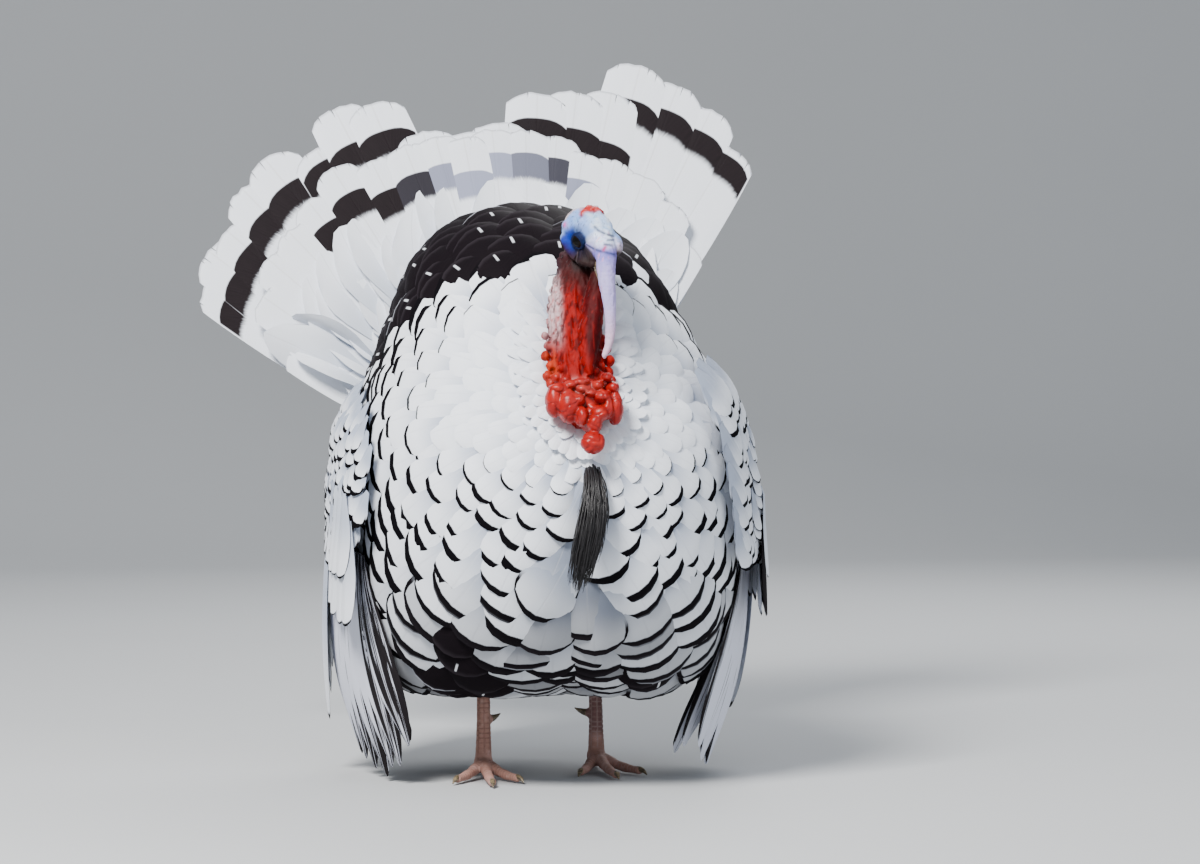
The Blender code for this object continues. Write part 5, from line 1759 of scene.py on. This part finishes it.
def scaly(points, normals):
    """Scutes on shanks and toes; the soles are flattened on the floor."""
    bird = points - SHIFT
    height = np.zeros(len(points))
    groove = np.zeros(len(points))
    for sign, ankle_y in LEGS.values():
        own = bird[:, 0] * sign > 0
        centre = ankle_y + 0.012 * np.clip((bird[:, 2] - 0.02) / 0.13, 0, 1) ** 2
        turn = np.arctan2(bird[:, 0] - sign * LEG_SPREAD, centre - bird[:, 1])
        shank = own * smoothstep(0.021, 0.027, bird[:, 2])
        row = bird[:, 2] / SCUTE + 0.5 * (np.abs(turn) > 0.9)
        step = np.abs((row % 1.0) - 0.5) * 2
        split = np.minimum(np.abs(turn), np.abs(np.abs(turn) - 0.9) * 1.2)
        plate = np.maximum(smoothstep(0.66, 1.0, step), smoothstep(0.16, 0.0, split))
        rear = smoothstep(1.5, 1.8, np.abs(turn))
        small = smoothstep(0.55, 0.85, cell_noise(bird, 0.0032, 21))
        line = plate * (1 - rear) + small * rear
        height -= shank * 0.00065 * line
        groove = np.maximum(groove, shank * line)
        for degrees, _ in TOES:
            angle = math.radians(degrees)
            ahead = np.array([sign * math.sin(angle), -math.cos(angle)])
            offset = bird[:, :2] - (sign * LEG_SPREAD, ankle_y)
            along = offset @ ahead
            aside = np.abs(offset @ np.array([-ahead[1], ahead[0]]))
            toe = own * (along > 0.006) * (aside < 0.0085) * smoothstep(0.022, 0.016, bird[:, 2])
            step = np.abs(((along / 0.0042) % 1.0) - 0.5) * 2
            line = smoothstep(0.62, 1.0, step) * smoothstep(0.0080, 0.0040, aside)
            height -= toe * 0.00055 * line
            groove = np.maximum(groove, toe * line)
    points = points + normals * height[:, None]
    points[:, 2] = np.maximum(points[:, 2], 0.0)
    return points, groove


def leg_tints(points, groove):
    bird = points - SHIFT
    patch, fine = hash_noise(bird, 0.012, 22), hash_noise(bird, 0.003, 23)
    left = (bird[:, 0] > 0).astype(float)
    tone = weights(
        ((0.42, 0.235, 0.190), np.ones(len(bird))),
        ((0.56, 0.34, 0.29), smoothstep(-0.2, 0.8, patch)),
        ((0.17, 0.085, 0.085), 0.80 * left * smoothstep(0.030, 0.045, bird[:, 2])),
        ((0.16, 0.080, 0.060), 0.65 * groove * (1 - left)),
        ((0.50, 0.38, 0.36), 0.55 * groove * left),
        ((0.62, 0.45, 0.40), 0.35 * smoothstep(0.3, 0.9, fine)),
    )
    return tone, np.tile((0.30, 0.15, 1.0, 1.0), (len(bird), 1))


# -------------------------------------------------------------------------------- one skin


def fine_form(forms, voxel, rounds):
    mesh = remeshed(forms, voxel)
    points = relaxed(mesh_points(mesh), mesh_edges(mesh), rounds, 0.5)
    set_points(mesh, points)
    return mesh


def joined(first, second):
    """The union of two closed meshes as one."""
    objects = []
    for mesh in (first, second):
        obj = bpy.data.objects.new("part", mesh)
        bpy.context.scene.collection.objects.link(obj)
        objects.append(obj)
    modifier = objects[0].modifiers.new("join", "BOOLEAN")
    modifier.operation, modifier.solver, modifier.object = "UNION", "MANIFOLD", objects[1]
    made = bpy.data.meshes.new_from_object(objects[0].evaluated_get(bpy.context.evaluated_depsgraph_get()))
    for obj in objects:
        bpy.data.objects.remove(obj)
    made.materials.clear()
    made.polygons.foreach_set("use_smooth", np.ones(len(made.polygons), bool))
    made.update()
    return made


def trunk_tints(points):
    """The skin under the feathers carries their markings."""
    bird = points - SHIFT
    black = smoothstep(-0.052, -0.044, (bird - HUMP_POINT) @ HUMP_NORMAL)
    black = black * smoothstep(0.378, 0.386, bird[:, 2])
    thigh = smoothstep(0.120, 0.114, bird[:, 2]) * smoothstep(0.043, 0.047, np.abs(bird[:, 0]))
    tone = weights(((0.70, 0.72, 0.78), np.ones(len(bird))), ((0.02, 0.017, 0.02), np.maximum(black, thigh)))
    return tone, np.tile((0.1, 0.2, 0.0, 1.0), (len(bird), 1))


def whole_skin(trunk):
    head = fine_form(head_form(), 0.00105, 2)
    points = open_eyes(mesh_points(head))
    points = relaxed(points, mesh_edges(head), 14, weight=round_eyes(points))
    set_points(head, points)
    points = crinkled(points, mesh_normals(head))
    set_points(head, open_eyes(points, 1.9))
    legs = fine_form(leg_forms(), 0.0012, 2)
    points, _ = scaly(mesh_points(legs), mesh_normals(legs))
    set_points(legs, points)
    skin = joined(joined(trunk, head), legs)
    points, normals, hollow = mesh_points(skin), mesh_normals(skin), hollows(skin)
    bird = points - SHIFT
    tone, finish = trunk_tints(points)
    # only the skin off the feathered body is bare
    bare = (bird[:, 2] > 0.325) & (bird[:, 1] < -0.125) & (np.abs(bird[:, 0] - 0.006) < 0.055)
    bare[bare] = off_form(trunk, points[bare])
    tone[bare], finish[bare] = head_tints(points[bare], normals[bare], hollow[bare])
    tone = relaxed(tone, mesh_edges(skin), 12, weight=round_eyes(points))
    foot = bird[:, 2] < 0.098
    groove = scaly(points, normals)[1]
    leg_tone, leg_finish = leg_tints(points, groove)
    low = foot & (np.abs(np.abs(bird[:, 0]) - LEG_SPREAD) < 0.05)
    tone[low], finish[low] = leg_tone[low], leg_finish[low]
    colour_attribute(skin, "tint", opaque(tone))
    colour_attribute(skin, "finish", finish)
    return skin


def off_form(form, points):
    """Whether points lie off a form, such as the neck's off the feathered body."""
    tree = BVHTree.FromPolygons(mesh_points(form).tolist(), face_quads(form).tolist())
    return np.array([tree.find_nearest(place)[3] > 0.0004 for place in points.tolist()])


# -------------------------------------------------------------------------------- horn, eyes, beard

BILL_TURN = Matrix.Rotation(math.radians(12), 3, "Z") @ Matrix.Rotation(math.radians(57), 3, "X")
BILL_ROOT = np.array([0.0270, -0.1945, 0.5165])


def bill_form(upper):
    """Half a bill: a curved, tapering form with its edges along the gape, hung down beside the snood."""
    length, drop = (0.0370, 0.0090) if upper else (0.0318, 0.0068)
    top, bottom = (0.0082, 0.0006) if upper else (-0.0006, -0.0070)
    rings = []
    for t in np.linspace(0, 1, 22):
        taper = (1 - t**1.9) ** 0.62 if t < 1 else 0.0
        taper = max(taper, 0.045)
        fall = drop * t**1.9
        half_width = 0.0082 * taper ** (0.85 if upper else 0.9)
        high, low = top * taper**0.8 - fall, bottom * taper**0.8 - fall
        if upper:
            low -= 0.0012 * smoothstep(0.75, 1.0, t)
        turn = turns(24)
        wide = boxed(np.cos(turn), 0.85)
        tall = np.sin(turn)
        if upper:
            z = np.where(tall > 0, low + (high - low) * np.abs(tall) ** 0.9, low - 0.0004 * np.abs(tall))
        else:
            z = np.where(tall < 0, high - (high - low) * np.abs(tall) ** 0.9, high + 0.0003 * np.abs(tall))
        rings.append(np.stack([half_width * wide, np.full(24, -(length + 0.0045) * t), z], 1))
    points, faces = loft_form(np.array(rings))
    return points @ np.array(BILL_TURN).T + BILL_ROOT + SHIFT, faces[:, ::-1]


def bill_pieces(material):
    for upper, name in ((True, "bill_upper"), (False, "bill_lower")):
        points, faces = bill_form(upper)
        local = to_head(points)
        bumps = 0.00025 * hash_noise(local * (1, 0.4, 1), 0.0020, 31)
        points = points + unit(points - points.mean(0)) * bumps[:, None]
        mesh = build_mesh(name, points, faces)
        add_piece(name, mesh, material, [name])


def eye_pieces(material):
    for name, centre in zip(("eye_left", "eye_right"), EYES):
        low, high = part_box(name)
        middle = (np.array(low) + np.array(high)) / 2
        points, faces = ball(middle, (EYE_RADIUS,) * 3, rows=28, columns=40)
        mesh = build_mesh(name, points, faces)
        outward = unit(np.array([math.copysign(1.0, centre[0]), *EYE_TURN]))
        facing = unit(to_head(points) - np.asarray(to_head(middle[None])[0])) @ outward
        away = np.degrees(np.arccos(np.clip(facing, -1, 1))) / 50
        colour_attribute(mesh, "look", np.stack([away, 0 * away, 0 * away, 0 * away + 1], 1))
        add_piece(name, mesh, material, [name])


CLAW = ((0.0, 0.0064), (0.004, 0.0066), (0.009, 0.0052), (0.0135, 0.0020))  # reach past the toe, height


def cone(path, radii):
    return tube(np.array(path) + SHIFT, radii, columns=12, steps=5)


def horn_pieces(material):
    claws, spurs = [], []
    for sign, ankle_y in LEGS.values():
        foot = np.array([sign * LEG_SPREAD, ankle_y, 0.0])
        for degrees, length in TOES:
            angle = math.radians(degrees)
            ahead = np.array([sign * math.sin(angle), -math.cos(angle), 0.0])
            path = [foot + ahead * (length - 0.002 + reach) + (0, 0, height) for reach, height in CLAW]
            claws.append(cone(path, (0.0030, 0.0030, 0.0021, 0.0006)))
        path = [
            (sign * (LEG_SPREAD - 0.006 - 0.013 * t), ankle_y + 0.006 + 0.010 * t, 0.058 + 0.004 * t * t)
            for t in (0, 0.35, 0.7, 1.0)
        ]
        spurs.append(cone(path, (0.0044, 0.0036, 0.0022, 0.0007)))
    add_piece("claws", build_mesh("claws", *merged(claws)), material, [])
    add_piece("spurs", build_mesh("spurs", *merged(spurs)), material, ["spur_left", "spur_right"])


def strand_mesh(name, lines, radii, sides=4):
    """Thin bristles as closed, tapering tubes through equally many points each."""
    lines, radii = np.asarray(lines), np.asarray(radii)
    count, steps = lines.shape[:2]
    ahead = unit(np.gradient(lines, axis=1))
    side = unit(np.cross(ahead, (0.37, 0.81, 0.12)))
    other = np.cross(side, ahead)
    turn = turns(sides)
    ring = np.cos(turn)[:, None] * side[:, :, None] + np.sin(turn)[:, None] * other[:, :, None]
    points = lines[:, :, None] + radii[:, :, None, None] * ring
    index = np.arange(count * steps * sides).reshape(count, steps, sides)
    after = np.roll(index, -1, axis=2)
    faces = np.stack([index[:, :-1], after[:, :-1], after[:, 1:], index[:, 1:]], -1).reshape(-1, 4)
    mesh = build_mesh(name, points.reshape(-1, 3), np.concatenate([faces, index[:, 0, ::-1], index[:, -1]]))
    roots = lines[:, 0]
    wide = np.argsort(np.ptp(roots, axis=0))[-2:]
    place = ((roots - roots.min(0)) / np.ptp(roots, axis=0))[:, wide]
    patch = np.stack(np.meshgrid(np.linspace(0, 1, steps), np.linspace(0, 1, sides), indexing="ij"), -1)
    corner_uv(mesh, "OFBake", (0.997 * place[:, None, None] + 0.003 * patch).reshape(-1, 2))
    mesh.uv_layers.new(name="vane")
    return mesh


BEARD = [  # height, side, front to back, half width
    (0.324, 0.0110, -0.2480, 0.0070),
    (0.300, 0.0105, -0.2570, 0.0108),
    (0.275, 0.0075, -0.2640, 0.0150),
    (0.245, 0.0020, -0.2665, 0.0150),
    (0.215, -0.0040, -0.2660, 0.0112),
    (0.200, -0.0070, -0.2650, 0.0080),
]


def beard():
    """The breast's tuft of coarse black bristles."""
    lines, radii = [], []
    for _ in range(520):
        turn, out = random.uniform(0, 2 * math.pi), math.sqrt(random.random())
        end = 0.198 + 0.070 * random.random() ** 1.7 + 0.012 * out
        heights = np.linspace(0.324 - 0.006 * random.random(), end, 9)
        form = table(BEARD, heights)
        wave = np.cumsum(random.normal(0, 0.00060, 9))
        share = np.linspace(0, 1, 9)
        x = form[:, 0] + form[:, 2] * out * math.cos(turn) * (0.75 + 0.25 * share) + wave
        y = form[:, 1] + form[:, 2] * 0.55 * out * math.sin(turn) + np.roll(wave, 3) * 0.6
        y = y + 0.020 * (1 - share) ** 5
        lines.append(np.stack([x, y, heights], 1) + SHIFT)
        radii.append(random.uniform(0.00045, 0.00075) * (1 - 0.75 * share**2))
    return strand_mesh("beard", lines, radii)


def bristles(surface_mesh):
    """Sparse short black hairs over the head and down the neck."""
    points, normals = mesh_points(surface_mesh), mesh_normals(surface_mesh)
    bird, local = points - SHIFT, to_head(points)
    crown = (local[:, 2] > 0.006) & (local[:, 1] > -0.024) & (bird[:, 2] > 0.51)
    nape = (bird[:, 2] > 0.41) & (bird[:, 2] < 0.555) & (bird[:, 1] < -0.11)
    nape = nape & (np.abs(bird[:, 0] - 0.008) < 0.04)
    sideways = np.abs(normals[:, 0]) + np.maximum(normals[:, 1], 0) > 0.45
    sides = nape & sideways & ~crown & (snood_share(bird) < 0.1)
    eye = near_eyes(local, (0.012, 0.012, 0.010))
    lines, radii = [], []
    fall = np.array([0.0, 0.10, -1.0])
    t = np.linspace(0, 1, 4)[:, None]
    for mask, number, length in ((crown & (eye < 0.3), 120, 0.0028), (sides & (eye < 0.3), 360, 0.0040)):
        for k in random.choice(np.flatnonzero(mask), number, replace=False):
            lay = unit(fall - normals[k] * np.dot(fall, normals[k]))
            size = length * random.uniform(0.6, 1.3)
            way = unit(lay + 0.45 * normals[k] + random.normal(0, 0.25, 3))
            droop = np.array([0, 0, 1.0]) * 0.25 * size * t * t
            lines.append(points[k] - normals[k] * 0.0004 + way * size * t - droop)
            radii.append(np.linspace(0.00020, 0.00007, 4))
    return strand_mesh("head_bristles", lines, radii)


# -------------------------------------------------------------------------------- put together

SIDES = ("left", "right")
SKIN_NODES = [  # the CAD nodes that the one skin stands in for
    *TRUNK_NODES,
    *("neck", "head", "dewlap", "snood", "caruncle_right", "caruncle_left", "caruncle_front"),
    *(f"{part}_{side}" for part in ("shank", "foot") for side in SIDES),
]
TAIL_NODES = [f"tail_feather_{k + 1:02d}" for k in range(len(TAIL_BANDS))]
QUILL_NODES = [f"wing_{side}_primary_{k}" for side in SIDES for k in range(1, 6)]
vane = Vane(BODY_ROWS, BODY_COLUMNS)
body_feathers, bristle_look = feather_material(), bristle_material()
horn_look, tail_look = horn_material(), tail_material()


def coat_piece(name, coat, fray, replaced=()):
    add_piece(name, coat.mesh(name, vane, fray), body_feathers, replaced)


trunk = trunk_form()
trunk_surface = Surface(mesh_points(trunk), face_quads(trunk))
for part, coat in body_coat(trunk_surface).items():
    coat_piece(f"coat_{part}", coat, 0.012)
coat_piece("coat_rear", rear_coat(trunk_surface), 0.03)
skin = whole_skin(trunk)
add_piece("head_bristles", bristles(skin), bristle_look, ())
add_piece("skin", skin, skin_material(), SKIN_NODES)
eye_pieces(eye_material())
bill_pieces(horn_look)
horn_pieces(horn_look)
add_piece("beard", beard(), bristle_look, ["beard"])
add_piece("tail_feathers", tail_feathers(), tail_look, TAIL_NODES)
add_piece("tail_large_coverts", large_coverts(), tail_look, ["tail_coverts"])
coat_piece("tail_small_coverts", small_coverts(), 0.02)
add_piece("wing_quills", wing_quills(), quill_material(), QUILL_NODES)
secondary_nodes = [f"wing_{side}_secondaries" for side in SIDES]
add_piece("wing_secondaries", wing_secondaries(), body_feathers, secondary_nodes)
add_piece("wing_greater_coverts", greater_coverts(), body_feathers, ())
coat_piece("wing_coverts", wing_coat(), 0.012, replaced=[f"wing_{side}_coverts" for side in SIDES])


def light(name, place, aim, energy, size, colour):
    data = bpy.data.lights.new(name, "AREA")
    data.energy, data.size, data.color = energy, size, colour
    obj = bpy.data.objects.new(name, data)
    obj.location = at(*place)
    obj.rotation_euler = (Vector(at(*aim)) - obj.location).to_track_quat("-Z", "Y").to_euler()
    bpy.context.scene.collection.objects.link(obj)


def stage():
    """A pale floor that bends up into a backdrop, and soft lights."""
    bend = np.radians(np.linspace(0, 90, 13))
    profile = [(-9.0, 0.0), *zip(3.2 + 1.6 * np.sin(bend), 1.6 - 1.6 * np.cos(bend)), (4.8, 7.0)]
    rows = [(x, y, z) for y, z in profile for x in (-11.0, 11.0)]
    quads = [(2 * k, 2 * k + 1, 2 * k + 3, 2 * k + 2) for k in range(len(profile) - 1)]
    floor = bpy.data.objects.new("floor", build_mesh("floor", rows, quads))
    bpy.context.scene.collection.objects.link(floor)
    floor.data.materials.append(floor_material())
    light("key", (-1.5, -2.0, 2.7), (0, -0.05, 0.35), 275, 1.0, (1.0, 0.985, 0.96))
    light("fill", (2.2, -2.2, 1.3), (0, -0.05, 0.3), 30, 2.2, (0.90, 0.95, 1.0))
    light("rim", (1.0, 2.2, 2.3), (0, 0.1, 0.4), 60, 1.4, (1.0, 1.0, 1.0))
    world = bpy.data.worlds.new("studio")
    bpy.context.scene.world = world
    world.use_nodes = True
    world.node_tree.nodes["Background"].inputs["Color"].default_value = (0.80, 0.87, 0.97, 1.0)
    world.node_tree.nodes["Background"].inputs["Strength"].default_value = 0.45


def camera():
    data = bpy.data.cameras.new("camera")
    data.lens, data.sensor_width = 135.0, 36.0
    data.clip_end = 60.0
    obj = bpy.data.objects.new("camera", data)
    turn = math.radians(-10)
    side = np.array([math.cos(turn), math.sin(turn), 0.0])
    onward = np.array([-math.sin(turn), math.cos(turn), 0.0])
    aim = 0.06 * side + np.array([0.0, 0.0, 0.343])
    place = 0.06 * side - 4.497 * onward + np.array([0.0, 0.0, 0.50])
    obj.location = at(*place)
    obj.rotation_euler = (Vector(aim) - Vector(place)).to_track_quat("-Z", "Y").to_euler()
    bpy.context.scene.collection.objects.link(obj)
    bpy.context.scene.camera = obj


stage()
camera()
